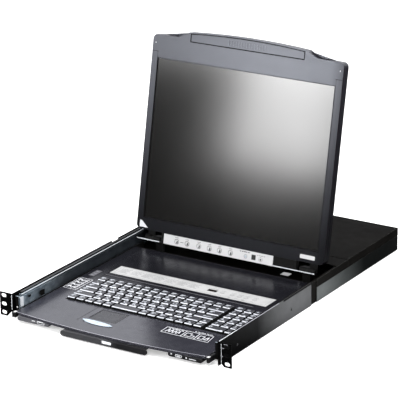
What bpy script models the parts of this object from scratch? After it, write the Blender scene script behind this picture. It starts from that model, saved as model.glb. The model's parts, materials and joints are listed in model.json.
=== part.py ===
"""Rack console drawer: a 19-inch 1U KVM switch with a fold-up screen, a keyboard and a touchpad.

Sizes are millimetres, measured from the front face of the rack ears: X to the right, Y to the
back, Z up from the bottom sheet. place() turns them into metres about the middle of the footprint.
Screen pieces are given in the screen's own frame: X to the right, F out of the glass, H up along it,
all from the hinge line.
"""
import math

import bmesh
import bpy
from mathutils import Matrix, Vector

MM = 0.001
NAME = "kvm_console_drawer"

# Rack standard
EAR_HALF = 241.3
EAR_Z = (0.2, 43.9)
SLOT_X = 232.6
SLOT_PITCH = 15.875
SLOT_SIZE = (11.0, 7.0)

# Overall depth
FRONT_Y = -29.5
REAR_Y = 645.0
MID_Y = (FRONT_Y + REAR_Y) / 2

# Fixed chassis
SHEET = 1.2
TRAY_HALF = 213.8
TRAY_Y = (22.0, 637.0)
TRAY_TOP = 41.5
TRAY_FLANGE = 5.0
PLATE = (214.1, 215.6)
EAR_LEG_END = 312.0
REAR_PLATE_Y = (333.0, 640.0)
REAR_PLATE_TOP = 28.0
COVER_TOP = 43.9
COVER_Y = (447.0, 641.0)
STRIP_Y = (410.0, 446.6)
PANEL_Y = (637.4, 638.8)

# Telescopic slides: (outer face |x|, lip |x|, bottom z, top z, front y, rear y)
SLIDE_OUTER = (212.3, 207.2, 7.0, 39.0, 18.0, 430.0)
SLIDE_MIDDLE = (210.5, 207.2, 8.8, 37.2, 18.0, 425.0)
SLIDE_INNER = (209.1, 205.2, 10.6, 35.4, 8.8, 420.0)
SLIDE_SHEET = 0.9

# Drawer
PAN_HALF = 204.6
PAN_Z = (2.2, 16.0)
PAN_Y = (17.0, 402.0)
DECK_HALF = 198.0
DECK_TOP = 17.6
DECK_SKIN = 2.4
DECK_FRONT = -25.0
DECK_CORNER_FRONT = -11.0
DECK_REAR = 366.0
LIP_BOTTOM = 12.6

# Keyboard
PITCH = 19.05
KEYS_X = -158.5
KEYS_Y = 84.4
KEY_TOP = 21.8
SHEET_TOP = 13.6
MAIN_UNITS = 15.0
PAD_GAP = 0.3
PAD_UNITS = 3
KEYS_WIDE = (MAIN_UNITS + PAD_GAP + PAD_UNITS) * PITCH
KEY_ROWS = 6
SPACE_UNITS = 3.0
ENTER_UNITS = 2.25
# Widths of the main block's keys, front row first; 0 leaves a place for a key of its own
ROWS = (
    (1,) * 5 + (0,) + (1,) * 7,
    (2.25,) + (1,) * 10 + (1.75, 1),
    (1.75,) + (1,) * 11 + (0,),
    (1.5,) + (1,) * 12 + (1.5,),
    (1,) * 13 + (2,),
    (1,) * 15,
)
FREE_WIDTH = {0: SPACE_UNITS, 2: ENTER_UNITS}

# Touchpad, its buttons and the port panel
PAD_X = (-71.5, -14.5)
PAD_Y = (30.5, 75.0)
TOUCH_Y = (12.5, 22.5)
TOUCH_SPANS = {"left": (-71.0, -44.0), "right": (-42.0, -15.0)}
PORT_X = (-163.0, 170.0)
PORT_Y = (229.5, 267.0)
DISPLAY_X = (38.5, 57.5)
DISPLAY_Y = (243.5, 252.5)
PORT_BUTTONS = (69.0, 90.0, 105.0, 119.0, 137.0)
PORT_BUTTON_Y = 247.0
PORT_BUTTON_R = 2.4

# Screen
HINGE_Y = 383.5
HINGE_Z = 33.6
TILT = math.radians(11.66)
LCD_HALF = 203.0
LCD_H = (16.5, 385.5)
LCD_CORNER = 9.0
SHOULDER = ((148.0, 386.0), (133.0, 392.5))
CROWN_HALF = 125.0
CROWN_H = (397.5, 402.4)
VIEW_HALF = 188.15
VIEW_H = (40.4, 341.5)
BEZEL_F = 9.3
GLASS_F = 8.4
BACK_F = -9.8
SHELL = 2.0
GRIP_HALF = 121.0
GRIP_H = (380.5, 394.5, 399.4)
CHIN_HALF = 146.0
CHIN_H = (-3.2, 16.0)
CHIN_F = 8.4
TRIM_X = (-200.0, 186.0)
CONTROL_X = (-140.0, 98.0)
OSD_X = (-111.0, -88.0, -62.0, -39.0, -17.0, 7.0)
OSD_H = 5.4
OSD_R = 3.9
BARREL_R = 6.3
PIN_R = 2.6
HINGE_SPANS = {"base": (152.0, 167.8), "leaf": (168.2, 184.0)}

# Front fittings
HANDLE_HALF = 90.0
HANDLE_LOW = 2.0
HANDLE_PLATE = 3.0
HANDLE_REAR = -10.0
HANDLE_FLANGE = 2.4
CAP_X = (124.0, 192.0)
CAP_Y = (-15.5, 14.0)
CAP_LOW = 4.6
USB_FRONT = ((-149.5, -136.5), (-17.0, -5.0), (6.0, 11.2))
CATCH_Y = (-12.0, 12.0)
CATCH_Z = (6.0, 16.4)
LOCK_WINDOW = ((-190.0, -179.0), (200.0, 228.0))

# Rear panel and sockets; a place is its (X, Y, Z) limits
PANEL_X = (-212.2, 212.2)
PANEL_Z = (1.6, 40.0)
PANEL_CUT_Y = (636.0, 640.0)
SOCKET_Y = 635.5
KVM_PORTS = 8
KVM_FIRST_X = -44.0
KVM_PITCH = 33.0
KVM_MARGIN = 14.0
KVM_Y = (632.0, 637.1)
KVM_Z = (7.0, 21.0)
SHELL_W = 18.0
SHELL_H = 9.6
PORT_Z = 14.0
CONSOLE = ((-134.0, -80.0), (628.0, 637.1), (7.0, 27.0))
CONSOLE_VIDEO_X = -118.0
USB_REAR = ((-99.0, -84.0), (630.0, 641.0), (8.0, 24.6))
USB_MOUTH = ((-98.0, -85.0), (631.0, 642.0))
USB_MOUTH_LOWS = (9.4, 17.6)
USB_MOUTH_HIGH = 5.4
INLET = ((-205.0, -176.0), (612.0, 641.0), (9.0, 33.0))
INLET_MOUTH = ((-202.5, -178.5), (625.0, 642.0), (12.5, 29.5))
ROCKER_AT = (-158.0, 638.2, 21.0)
ROCKER_HALF = (6.6, 10.4)
ROCKER_PLAY = (0.6, 1.2)
ROCKER_REST = math.radians(8)

# Inside the chassis
BOARD = ((-62.0, 204.0), (500.0, 628.0), (5.0, 6.6))
BOARD_FITTINGS = {
    "main_chip": ((40.0, 72.0), (540.0, 572.0), (6.4, 9.6)),
    "heat_sink": ((110.0, 150.0), (545.0, 585.0), (6.4, 18.0)),
    "board_header": ((-40.0, 0.0), (508.0, 516.0), (6.4, 14.0)),
}
SUPPLY = ((-205.0, -85.0), (470.0, 605.0), (2.0, 36.0))

GAP = 0.3
SIDES = {"left": -1, "right": 1}

COLOURS = {
    "black_steel": ((0.012, 0.012, 0.014), 0.45, 0.6),
    "grey_steel": ((0.045, 0.05, 0.052), 0.4, 0.6),
    "zinc": ((0.42, 0.47, 0.5), 0.35, 1.0),
    "dark_plastic": ((0.035, 0.036, 0.045), 0.4, 0.0),
    "black_plastic": ((0.01, 0.01, 0.011), 0.5, 0.0),
    "silver": ((0.72, 0.72, 0.74), 0.35, 0.3),
    "glass": ((0.012, 0.012, 0.013), 0.08, 0.0),
    "board": ((0.02, 0.11, 0.05), 0.5, 0.0),
    "white_plastic": ((0.7, 0.7, 0.7), 0.4, 0.0),
    "bright_steel": ((0.6, 0.6, 0.62), 0.3, 1.0),
}


def clear_scene():
    for item in list(bpy.data.objects):
        bpy.data.objects.remove(item, do_unlink=True)


def new_collection(name):
    made = bpy.data.collections.new(name)
    bpy.context.scene.collection.children.link(made)
    return made


def material(name):
    found = bpy.data.materials.get(name)
    if found:
        return found
    colour, rough, metal = COLOURS[name]
    made = bpy.data.materials.new(name)
    made.use_nodes = True
    shader = made.node_tree.nodes["Principled BSDF"]
    shader.inputs["Base Color"].default_value = (*colour, 1.0)
    shader.inputs["Roughness"].default_value = rough
    shader.inputs["Metallic"].default_value = metal
    return made


def place(x, y, z):
    return Vector((x, y - MID_Y, z)) * MM


def add_object(name, mesh, look, centre, parent=None, turn=None):
    """Link a mesh as one object; centre is in metres, in the parent's frame."""
    item = bpy.data.objects.new(name, mesh)
    (CONSTRUCTION if look is None else PARTS).objects.link(item)
    item.location = centre
    if turn:
        item.rotation_euler = turn
    if parent:
        item.parent = parent
    if look is None:
        item.hide_render = True
        item.display_type = "WIRE"
    else:
        item.data.materials.append(material(look))
    return item


def box_mesh(name, size, bevel=0.0, top=(1.0, 1.0)):
    """A box of the given size about its own centre, with tapered top and bevelled edges."""
    bm = bmesh.new()
    bmesh.ops.create_cube(bm, size=1.0)
    bmesh.ops.scale(bm, vec=Vector(size) * MM, verts=bm.verts)
    for vert in bm.verts:
        if vert.co.z > 0:
            vert.co.x *= top[0]
            vert.co.y *= top[1]
    if bevel:
        bmesh.ops.bevel(bm, geom=bm.edges[:], offset=bevel * MM, segments=2, profile=0.5,
                        affect="EDGES")
    mesh = bpy.data.meshes.new(name)
    bm.to_mesh(mesh)
    bm.free()
    return mesh


def rod_mesh(name, radius, length, axis, sides):
    """A cylinder about its own centre along one axis."""
    bm = bmesh.new()
    bmesh.ops.create_cone(bm, cap_ends=True, segments=sides, radius1=radius * MM,
                          radius2=radius * MM, depth=length * MM)
    turns = {"X": Matrix.Rotation(math.pi / 2, 4, "Y"), "Y": Matrix.Rotation(math.pi / 2, 4, "X")}
    if axis in turns:
        bmesh.ops.transform(bm, matrix=turns[axis], verts=bm.verts)
    mesh = bpy.data.meshes.new(name)
    bm.to_mesh(mesh)
    bm.free()
    mesh.shade_smooth()
    mesh.set_sharp_from_angle(angle=math.radians(40))
    return mesh


def frame_point(lcd, x, y, z):
    """Metres in the drawer's frame, or in the screen's when the piece hangs on its hinge."""
    return Vector((x, y, z)) * MM if lcd else place(x, y, z)


def box(name, xs, ys, zs, look, lcd=None, bevel=0.0, top=(1.0, 1.0), pivot=None):
    """A box between limits; pivot (same frame) puts the origin there instead of the centre."""
    spans = [sorted(span) for span in (xs, ys, zs)]
    size = [high - low for low, high in spans]
    middle = [(low + high) / 2 for low, high in spans]
    mesh = box_mesh(name, size, bevel, top)
    at = frame_point(lcd, *middle)
    if pivot:
        origin = frame_point(lcd, *pivot)
        mesh.transform(Matrix.Translation(at - origin))
        at = origin
    return add_object(name, mesh, look, at, lcd)


def rod(name, centre, radius, length, axis, look, lcd=None, sides=20):
    return add_object(name, rod_mesh(name, radius, length, axis, sides), look,
                      frame_point(lcd, *centre), lcd)


TURNS = {
    "X": Matrix(((0, 0, 1), (1, 0, 0), (0, 1, 0))).to_4x4(),
    "Y": Matrix(((1, 0, 0), (0, 0, -1), (0, 1, 0))).to_4x4(),
    "Z": Matrix.Identity(4),
}


def extrusion(name, outlines, span, axis, look, lcd=None):
    """Flat outlines (the later ones are holes) extruded between two positions along an axis.

    An outline's points are (Y, Z) for axis X, (X, Z) for axis Y and (X, Y) for axis Z.
    """
    curve = bpy.data.curves.new(name + "_outline", "CURVE")
    curve.dimensions = "2D"
    curve.fill_mode = "BOTH"
    curve.extrude = (span[1] - span[0]) / 2 * MM
    for points in outlines:
        spline = curve.splines.new("POLY")
        spline.points.add(len(points) - 1)
        spline.use_cyclic_u = True
        for index, (u, v) in enumerate(points):
            spline.points[index].co = (u * MM, v * MM, 0, 1)
    guide = bpy.data.objects.new(name + "_outline", curve)
    CONSTRUCTION.objects.link(guide)
    bpy.context.view_layer.update()
    mesh = bpy.data.meshes.new_from_object(guide.evaluated_get(bpy.context.evaluated_depsgraph_get()))
    bpy.data.objects.remove(guide)
    bm = bmesh.new()
    bm.from_mesh(mesh)
    bmesh.ops.remove_doubles(bm, verts=bm.verts, dist=0.000001)
    bmesh.ops.transform(bm, matrix=TURNS[axis], verts=bm.verts)
    bmesh.ops.recalc_face_normals(bm, faces=bm.faces)
    bm.to_mesh(mesh)
    bm.free()
    mesh.materials.clear()
    mesh.name = name
    middle = (span[0] + span[1]) / 2
    offset = {"X": (middle, 0, 0), "Y": (0, middle, 0), "Z": (0, 0, middle)}[axis]
    return add_object(name, mesh, look, frame_point(lcd, *offset), lcd)


def boolean(target, other, operation):
    change = target.modifiers.new(operation.lower(), "BOOLEAN")
    change.operation = operation
    change.solver = "EXACT"
    change.object = other


def cut(target, *others):
    for other in others:
        boolean(target, other, "DIFFERENCE")


def weld(target, *others):
    for other in others:
        boolean(target, other, "UNION")


def rounded(xs, ys, radius, steps=4):
    """A rectangle's outline with round corners."""
    points = []
    corners = ((xs[1] - radius, ys[1] - radius, 0), (xs[0] + radius, ys[1] - radius, 90),
               (xs[0] + radius, ys[0] + radius, 180), (xs[1] - radius, ys[0] + radius, 270))
    for cx, cy, start in corners:
        for step in range(steps + 1):
            angle = math.radians(start + 90 * step / steps)
            points.append((cx + radius * math.cos(angle), cy + radius * math.sin(angle)))
    return points


def mirror_sign(points, sign):
    return [(sign * x, y) for x, y in points]


# ---------------------------------------------------------------- fixed chassis

def chassis_tray():
    half, low, lip = TRAY_HALF, 0.0, TRAY_HALF - TRAY_FLANGE
    inner = half - SHEET
    right = [(half, low), (half, TRAY_TOP), (lip, TRAY_TOP), (lip, TRAY_TOP - SHEET),
             (inner, TRAY_TOP - SHEET), (inner, SHEET)]
    outline = right + [(-x, z) for x, z in reversed(right)]
    extrusion("chassis_tray", [outline], TRAY_Y, "Y", "black_steel")


def ear_bracket(side, sign):
    inner, outer = PLATE
    leg_and_ear = [(inner, 0), (EAR_HALF, 0), (EAR_HALF, 2), (outer, 2), (outer, EAR_LEG_END),
                   (inner, EAR_LEG_END)]
    name = "ear_bracket_" + side
    bracket = extrusion(name, [mirror_sign(leg_and_ear, sign)], EAR_Z, "Z", "black_steel")
    middle = sum(EAR_Z) / 2
    for row in (-1, 0, 1):
        z = middle + row * SLOT_PITCH
        half_w, half_h = SLOT_SIZE[0] / 2, SLOT_SIZE[1] / 2
        hole = rounded((SLOT_X - half_w, SLOT_X + half_w), (z - half_h, z + half_h), half_h - 0.1)
        cut(bracket, extrusion(f"{name}_slot_{row + 2}", [mirror_sign(hole, sign)], (-1, 3), "Y", None))
    corner = [(outer + GAP, -1), (SLOT_X - 5, -1), (outer + GAP, 11)]
    cut(bracket, extrusion(name + "_corner", [mirror_sign(corner, sign)], (-1, 2.2), "Y", None))


def rear_bracket(side, sign):
    box("rear_bracket_" + side, (sign * PLATE[0], sign * PLATE[1]), REAR_PLATE_Y,
        (EAR_Z[0], REAR_PLATE_TOP), "grey_steel")


def cover_outline(top):
    outer, lip_in, lip_low = PLATE[1], PLATE[0], REAR_PLATE_TOP + 2 * GAP
    right = [(outer, lip_low), (outer, top), (lip_in, top - SHEET), (lip_in, lip_low)]
    left = mirror_sign(reversed(right), -1)
    return [right[3], right[0], right[1]] + [left[2], left[3], left[0], left[1], right[2]]


def covers():
    extrusion("top_cover", [cover_outline(COVER_TOP)], COVER_Y, "Y", "black_steel")
    strip = extrusion("cover_strip", [cover_outline(COVER_TOP - 0.5)], STRIP_Y, "Y", "black_steel")
    for side, sign in SIDES.items():
        weld(strip, box("cover_strip_lip_" + side, (sign * PLATE[0], sign * PLATE[1]),
                        (REAR_PLATE_Y[0], STRIP_Y[0] + 1), (REAR_PLATE_TOP + 2 * GAP, COVER_TOP - 0.5),
                        None))


def shell_outline(x, z, grow=0.0):
    """The D-shaped outline of a 15-pin socket."""
    half, high = SHELL_W / 2 + grow, SHELL_H / 2 + grow
    slant, nick = 1.6, 1.4
    return [(x - half, z + high - nick), (x - half + slant, z - high + nick),
            (x - half + slant + nick, z - high), (x + half - slant - nick, z - high),
            (x + half - slant, z - high + nick), (x + half, z + high - nick),
            (x + half - nick, z + high), (x - half + nick, z + high)]


def socket(name, x, z):
    return extrusion(name, [shell_outline(x, z)], (SOCKET_Y, REAR_Y), "Y", None)


def cut_panel(panel, name, place_limits):
    """A clearance hole in the rear panel round a housing."""
    xs, _, zs = place_limits
    cut(panel, box(name, (xs[0] - GAP, xs[1] + GAP), PANEL_CUT_Y, (zs[0] - GAP, zs[1] + GAP), None))


def rear_panel_and_sockets():
    panel = box("rear_panel", PANEL_X, PANEL_Y, PANEL_Z, "black_steel")
    kvm_x = [KVM_FIRST_X + KVM_PITCH * index for index in range(KVM_PORTS)]
    ports = box("kvm_ports", (kvm_x[0] - KVM_MARGIN, kvm_x[-1] + KVM_MARGIN), KVM_Y, KVM_Z, "silver")
    for index, x in enumerate(kvm_x):
        weld(ports, socket(f"kvm_socket_{index + 1}", x, PORT_Z))
        cut(panel, extrusion(f"kvm_cut_{index + 1}", [shell_outline(x, PORT_Z, GAP)],
                             PANEL_CUT_Y, "Y", None))
    console = box("console_ports", *CONSOLE, "silver")
    weld(console, socket("console_video", CONSOLE_VIDEO_X, PORT_Z), box("usb_housing", *USB_REAR, None))
    for level, low in enumerate(USB_MOUTH_LOWS):
        cut(console, box(f"usb_mouth_{level + 1}", *USB_MOUTH, (low, low + USB_MOUTH_HIGH), None))
    cut(panel, extrusion("console_cut", [shell_outline(CONSOLE_VIDEO_X, PORT_Z, GAP)], PANEL_CUT_Y,
                         "Y", None))
    cut_panel(panel, "usb_cut", USB_REAR)
    inlet = box("power_inlet", *INLET, "black_plastic")
    cut(inlet, box("inlet_mouth", *INLET_MOUTH, None))
    cut_panel(panel, "inlet_cut", INLET)
    half_w, half_h = (half + play - GAP for half, play in zip(ROCKER_HALF, ROCKER_PLAY))
    x, _, z = ROCKER_AT
    cut_panel(panel, "rocker_cut", ((x - half_w, x + half_w), None, (z - half_h, z + half_h)))


def power_rocker():
    """A switch that rocks about X; its face is a shallow V and it rests pressed at the bottom."""
    half_w, half_h = ROCKER_HALF
    side = [(-6, -4), (-6, 4), (0.2, half_h), (3.6, half_h), (1.8, 0), (3.6, -half_h), (0.2, -half_h)]
    rocker = extrusion("power_rocker", [side], (-half_w, half_w), "X", "black_plastic")
    rocker.location = place(*ROCKER_AT)
    rocker.rotation_euler = (ROCKER_REST, 0, 0)


def inner_electronics():
    board = box("main_board", *BOARD, "board")
    for name, limits in BOARD_FITTINGS.items():
        weld(board, box(name, *limits, None))
    supply = box("power_supply", *SUPPLY, "bright_steel")
    (x0, x1), (y0, y1), (z0, z1) = SUPPLY
    cut(supply, box("supply_hollow", (x0 + SHEET, x1 - SHEET), (y0 + SHEET, y1 - SHEET),
                    (z0 - 1, z1 - SHEET), None))


def slide_channel(name, sign, sizes, look):
    """One C-shaped slide member, open towards the middle of the drawer."""
    outer, lip, low, high, front, rear = sizes
    web = outer - SLIDE_SHEET
    profile = [(lip, low), (outer, low), (outer, high), (lip, high), (lip, high - SLIDE_SHEET),
               (web, high - SLIDE_SHEET), (web, low + SLIDE_SHEET), (lip, low + SLIDE_SHEET)]
    return extrusion(name, [mirror_sign(profile, sign)], (front, rear), "Y", look)


def slides(side, sign):
    slide_channel("slide_outer_" + side, sign, SLIDE_OUTER, "zinc")
    slide_channel("slide_middle_" + side, sign, SLIDE_MIDDLE, "zinc")
    inner = slide_channel("slide_inner_" + side, sign, SLIDE_INNER, "zinc")
    tab = (SLIDE_INNER[4] - 1.4, SLIDE_INNER[4] + 0.2)
    weld(inner, box(f"slide_tab_{side}", (sign * (SLIDE_INNER[1] - 0.4), sign * 212.2), tab,
                    (8.0, 38.4), None))
    for index, z in enumerate((14.0, 33.0)):
        cut(inner, rod(f"slide_hole_{side}_{index + 1}", (sign * 210.6, tab[0], z), 1.4, 6, "Y", None,
                       sides=12))
    cut(inner, box("slide_window_" + side, (sign * 207, sign * 211), (74.0, 84.0), (18.0, 26.0), None))


# ---------------------------------------------------------------- drawer

def drawer_pan():
    half, (low, high) = PAN_HALF, PAN_Z
    outline = [(-half, low), (half, low), (half, high), (half - 1, high), (half - 1, low + 1),
               (1 - half, low + 1), (1 - half, high), (-half, high)]
    extrusion("drawer_pan", [outline], PAN_Y, "Y", "black_steel")


def bow(x):
    """The deck's front edge, which bows forward in the middle."""
    return DECK_FRONT + (DECK_CORNER_FRONT - DECK_FRONT) * (x / DECK_HALF) ** 2


def deck_outline(inset=0.0, steps=16, rear=DECK_REAR):
    half, radius = DECK_HALF - inset, 5.0
    run = [-half + radius + (2 * half - 2 * radius) * step / steps for step in range(steps + 1)]
    front = [(x, bow(x) + inset) for x in run]
    start = [(-half, bow(half) + inset + radius), (-half + 1.4, bow(half) + inset + 1.8)]
    end = [(half - 1.4, bow(half) + inset + 1.8), (half, bow(half) + inset + radius)]
    return start + front + end + [(half, rear), (-half, rear)]


def rectangle(xs, ys, grow=0.0):
    return [(xs[0] - grow, ys[0] - grow), (xs[1] + grow, ys[0] - grow),
            (xs[1] + grow, ys[1] + grow), (xs[0] - grow, ys[1] + grow)]


def keyboard_deck():
    keys = rectangle((KEYS_X, KEYS_X + KEYS_WIDE), (KEYS_Y, KEYS_Y + KEY_ROWS * PITCH), 1.0)
    holes = [keys, rectangle(PAD_X, PAD_Y, GAP), rectangle(PORT_X, PORT_Y, GAP)]
    holes += [rectangle(span, TOUCH_Y, 0.4) for span in TOUCH_SPANS.values()]
    holes.append(rectangle(*LOCK_WINDOW))
    deck = extrusion("keyboard_deck", [deck_outline()] + holes,
                     (DECK_TOP - DECK_SKIN, DECK_TOP), "Z", "dark_plastic")
    skirt_y = (TOUCH_Y[1] + 2.5, DECK_REAR - 0.4)
    skirt = extrusion("deck_skirt", [rectangle((0.4 - DECK_HALF, DECK_HALF - 0.4), skirt_y),
                                     rectangle((-DECK_HALF, DECK_HALF), skirt_y, -2.8)],
                      (PAN_Z[0] + 1 + GAP, DECK_TOP - DECK_SKIN + 0.2), "Z", None)
    back = deck_outline(4.0)
    lip = extrusion("deck_lip", [deck_outline(0.3, rear=4.0),
                                 back[:-2] + [(DECK_HALF - 4, 1.0), (4 - DECK_HALF, 1.0)]],
                    (LIP_BOTTOM, DECK_TOP - DECK_SKIN + 0.2), "Z", None)
    weld(deck, skirt, lip)


def front_handle():
    half, top = HANDLE_HALF, LIP_BOTTOM - GAP
    face = (FRONT_Y, FRONT_Y + HANDLE_PLATE)
    plate = rounded((-half, half), (HANDLE_LOW, top), 5.0)
    handle = extrusion("front_handle", [plate], face, "Y", "dark_plastic")
    weld(handle, box("handle_flange", (4 - half, half - 4), (face[1] - 0.2, HANDLE_REAR),
                     (top - HANDLE_FLANGE, top), None))


def front_cap(side, sign):
    span = sorted((sign * CAP_X[0], sign * CAP_X[1]))
    cap = extrusion("front_cap_" + side, [rounded(span, (CAP_LOW, LIP_BOTTOM - GAP), 3.2)],
                    CAP_Y, "Y", "dark_plastic")
    if side == "left":
        cut(cap, box("usb_front_mouth", *USB_FRONT, None))


def release_catch(side, sign):
    box("release_catch_" + side, (sign * (DECK_HALF + 0.8), sign * (PAN_HALF - 0.4)),
        CATCH_Y, CATCH_Z, "black_plastic", bevel=1.0)


def key_places():
    """(x, y, width) of every key, with the space bar and Enter left out."""
    for row, widths in enumerate(ROWS):
        x = KEYS_X
        y = KEYS_Y + row * PITCH
        for units in widths:
            wide = units or FREE_WIDTH[row]
            if units:
                yield x, y, wide * PITCH
            x += wide * PITCH
        x += PAD_GAP * PITCH
        for units in ((2, 1) if row == 0 else (1, 1, 1)):
            yield x, y, units * PITCH
            x += units * PITCH


def free_key_place(row):
    x = KEYS_X
    for units in ROWS[row]:
        if not units:
            break
        x += units * PITCH
    return x, KEYS_Y + row * PITCH, FREE_WIDTH[row] * PITCH


def keyboard():
    wide = (KEYS_X + 0.2, KEYS_X + KEYS_WIDE - 0.2)
    deep = (KEYS_Y + 0.2, KEYS_Y + KEY_ROWS * PITCH - 0.2)
    box("keyboard_plate", wide, deep, (8.6, 10.2), "bright_steel")
    caps = box("keycaps", wide, deep, (10.5, SHEET_TOP), "black_plastic")
    bm = bmesh.new()
    low, high = SHEET_TOP - 0.4, KEY_TOP
    for x, y, width in key_places():
        made = bmesh.ops.create_cube(bm, size=1.0)["verts"]
        for vert in made:
            edge = 3.0 if vert.co.z > 0 else 0.9
            vert.co = ((x + width / 2 + vert.co.x * (width - 2 * edge)) * MM,
                       (y + PITCH / 2 + vert.co.y * (PITCH - 2 * edge)) * MM,
                       (high if vert.co.z > 0 else low) * MM)
    mesh = bpy.data.meshes.new("key_blocks")
    bm.to_mesh(mesh)
    bm.free()
    weld(caps, add_object("key_blocks", mesh, None, place(0, 0, 0)))
    for name, row in (("space_bar", 0), ("enter_key", 2)):
        x, y, width = free_key_place(row)
        base = SHEET_TOP + 2.6
        size = (width - 1.8, PITCH - 1.8, KEY_TOP - base)
        top = ((width - 6) / size[0], (PITCH - 6) / size[1])
        add_object(name, box_mesh(name, size, 0.0, top), "black_plastic",
                   place(x + width / 2, y + PITCH / 2, (base + KEY_TOP) / 2))


def touchpad():
    box("touchpad", PAD_X, PAD_Y, (DECK_TOP - 3.4, DECK_TOP - 0.4), "black_plastic")
    for side, span in TOUCH_SPANS.items():
        box("touch_button_" + side, span, TOUCH_Y, (DECK_TOP - 4.0, DECK_TOP + 0.6), "silver", bevel=0.5)


def port_panel():
    panel = box("port_panel", PORT_X, PORT_Y, (DECK_TOP - 1.8, DECK_TOP + 0.2), "silver")
    cut(panel, box("display_cut", (DISPLAY_X[0] - GAP, DISPLAY_X[1] + GAP),
                   (DISPLAY_Y[0] - GAP, DISPLAY_Y[1] + GAP), (DECK_TOP - 3, DECK_TOP + 1), None))
    box("port_display", DISPLAY_X, DISPLAY_Y, (DECK_TOP - 3.0, DECK_TOP), "glass")
    for index, x in enumerate(PORT_BUTTONS):
        middle = DECK_TOP - 1.2
        cut(panel, rod(f"port_hole_{index + 1}", (x, PORT_BUTTON_Y, middle), PORT_BUTTON_R + GAP, 5, "Z",
                       None, sides=16))
        rod(f"port_button_{index + 1}", (x, PORT_BUTTON_Y, middle), PORT_BUTTON_R, 4.2, "Z",
            "black_plastic", sides=16)


def hinge_base(side, sign):
    """The fixed half of a hinge: a foot on the pan, a barrel and the pin."""
    near, far = HINGE_SPANS["base"]
    span = (sign * near, sign * far)
    centre = sign * (near + far) / 2
    name = "hinge_base_" + side
    base = box(name, span, (390.0, 396.5), (PAN_Z[0] + 1 + GAP, HINGE_Z + 3.4), "black_steel")
    weld(base, box(name + "_arm", span, (HINGE_Y, 390.4), (HINGE_Z - 3.6, HINGE_Z + 3.4), None),
         rod(name + "_barrel", (centre, HINGE_Y, HINGE_Z), BARREL_R, far - near, "X", None, sides=24),
         rod(name + "_pin", (sign * (far + 7), HINGE_Y, HINGE_Z), PIN_R, 15.0, "X", None, sides=16))


# ---------------------------------------------------------------- screen

def screen_empty():
    empty = bpy.data.objects.new("screen_hinge", None)
    PARTS.objects.link(empty)
    empty.location = place(0, HINGE_Y, HINGE_Z)
    empty.rotation_euler = (-TILT, 0, 0)
    return empty


def arc_points(half, ends, middle, steps=8):
    """A shallow arc from +half to -half."""
    points = []
    for step in range(steps + 1):
        x = half - 2 * half * step / steps
        points.append((x, middle - (middle - ends) * (x / half) ** 2))
    return points


def screen_outline(inset=0.0, bottom=LCD_H[0]):
    """The screen's outline (X, H): round corners and a crown for the handle."""
    half, low, high = LCD_HALF - inset, bottom + inset, LCD_H[1] - inset
    radius = LCD_CORNER - inset
    body = rounded((-half, half), (low, high), radius)
    right, left = body[:5], body[5:]
    shoulder = [(x, h - inset) for x, h in SHOULDER]
    crown = arc_points(CROWN_HALF, CROWN_H[0] - inset, CROWN_H[1] - inset)
    return right + shoulder + crown + [(-x, h) for x, h in reversed(shoulder)] + left


def grip_outline(grow=0.0):
    low, shoulder, top = GRIP_H
    half = GRIP_HALF + grow
    return [(-half, low - grow), (half, low - grow)] + arc_points(half, shoulder + grow, top + grow)


def pocket_outline():
    """The hollow of a screen shell, with a notch through its foot for each hinge leaf."""
    points = screen_outline(SHELL)
    foot = LCD_H[0] + SHELL
    near, far = HINGE_SPANS["leaf"]
    right = [(near - 2, foot + 0.4), (near - 2, foot - 9), (far + 2, foot - 9), (far + 2, foot + 0.2)]
    left = [(-x, h) for x, h in reversed(right)]
    return points[:-5] + left + right + points[-5:]


def forward(low_f, high_f):
    """Depths out of the glass as the hinge frame's Y range."""
    return (-high_f, -low_f)


def screen_shells(lcd):
    view = rectangle((-VIEW_HALF, VIEW_HALF), VIEW_H)
    bezel = extrusion("lcd_bezel", [screen_outline(), view, grip_outline(GAP)],
                      forward(0.0, BEZEL_F), "Y", "dark_plastic", lcd)
    cut(bezel, extrusion("bezel_pocket", [pocket_outline()], forward(-1.0, BEZEL_F - SHELL), "Y",
                         None, lcd))
    back = extrusion("lcd_back_cover", [screen_outline()], forward(BACK_F, -GAP), "Y", "black_plastic",
                     lcd)
    cut(back, extrusion("back_pocket", [pocket_outline()], forward(BACK_F + SHELL, 1.0), "Y", None,
                        lcd))


def screen_inside(lcd):
    inner = VIEW_HALF + 4
    box("lcd_screen", (GAP - VIEW_HALF, VIEW_HALF - GAP), forward(4.9, GLASS_F),
        (VIEW_H[0] + GAP, VIEW_H[1] - GAP), "glass", lcd)
    box("lcd_backlight", (-inner, inner), forward(-1.6, 4.6), (VIEW_H[0] - 4, VIEW_H[1] + 4),
        "white_plastic", lcd)
    box("lcd_board", (-90.0, 90.0), forward(-6.6, -5.0), (60.0, 160.0), "board", lcd)
    extrusion("lcd_grip", [grip_outline()], forward(BEZEL_F - 1.6, BEZEL_F - 0.4), "Y",
              "dark_plastic", lcd)


def screen_chin(lcd):
    """The bar under the bezel that carries the buttons, with a thin bright edge along its foot."""
    chin = box("lcd_chin", (-CHIN_HALF, CHIN_HALF), forward(-2.0, CHIN_F), CHIN_H, "black_plastic", lcd)
    weld(chin, box("chin_trim", TRIM_X, forward(7.0, CHIN_F - 0.1), (CHIN_H[0] + 0.1, CHIN_H[0] + 2.0),
                   None, lcd))
    strip = box("control_strip", CONTROL_X, forward(CHIN_F + GAP, BEZEL_F), (CHIN_H[0], CHIN_H[1] - 0.2),
                "silver", lcd)
    for index, x in enumerate(OSD_X):
        cut(chin, rod(f"osd_pocket_{index + 1}", (x, -6.0, OSD_H), OSD_R + GAP, 6.0, "Y", None, lcd))
        cut(strip, rod(f"osd_hole_{index + 1}", (x, -8.0, OSD_H), OSD_R + GAP, 6.0, "Y", None, lcd))
        rod(f"osd_button_{index + 1}", (x, -7.6, OSD_H), OSD_R, 5.0, "Y", "silver", lcd)


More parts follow.
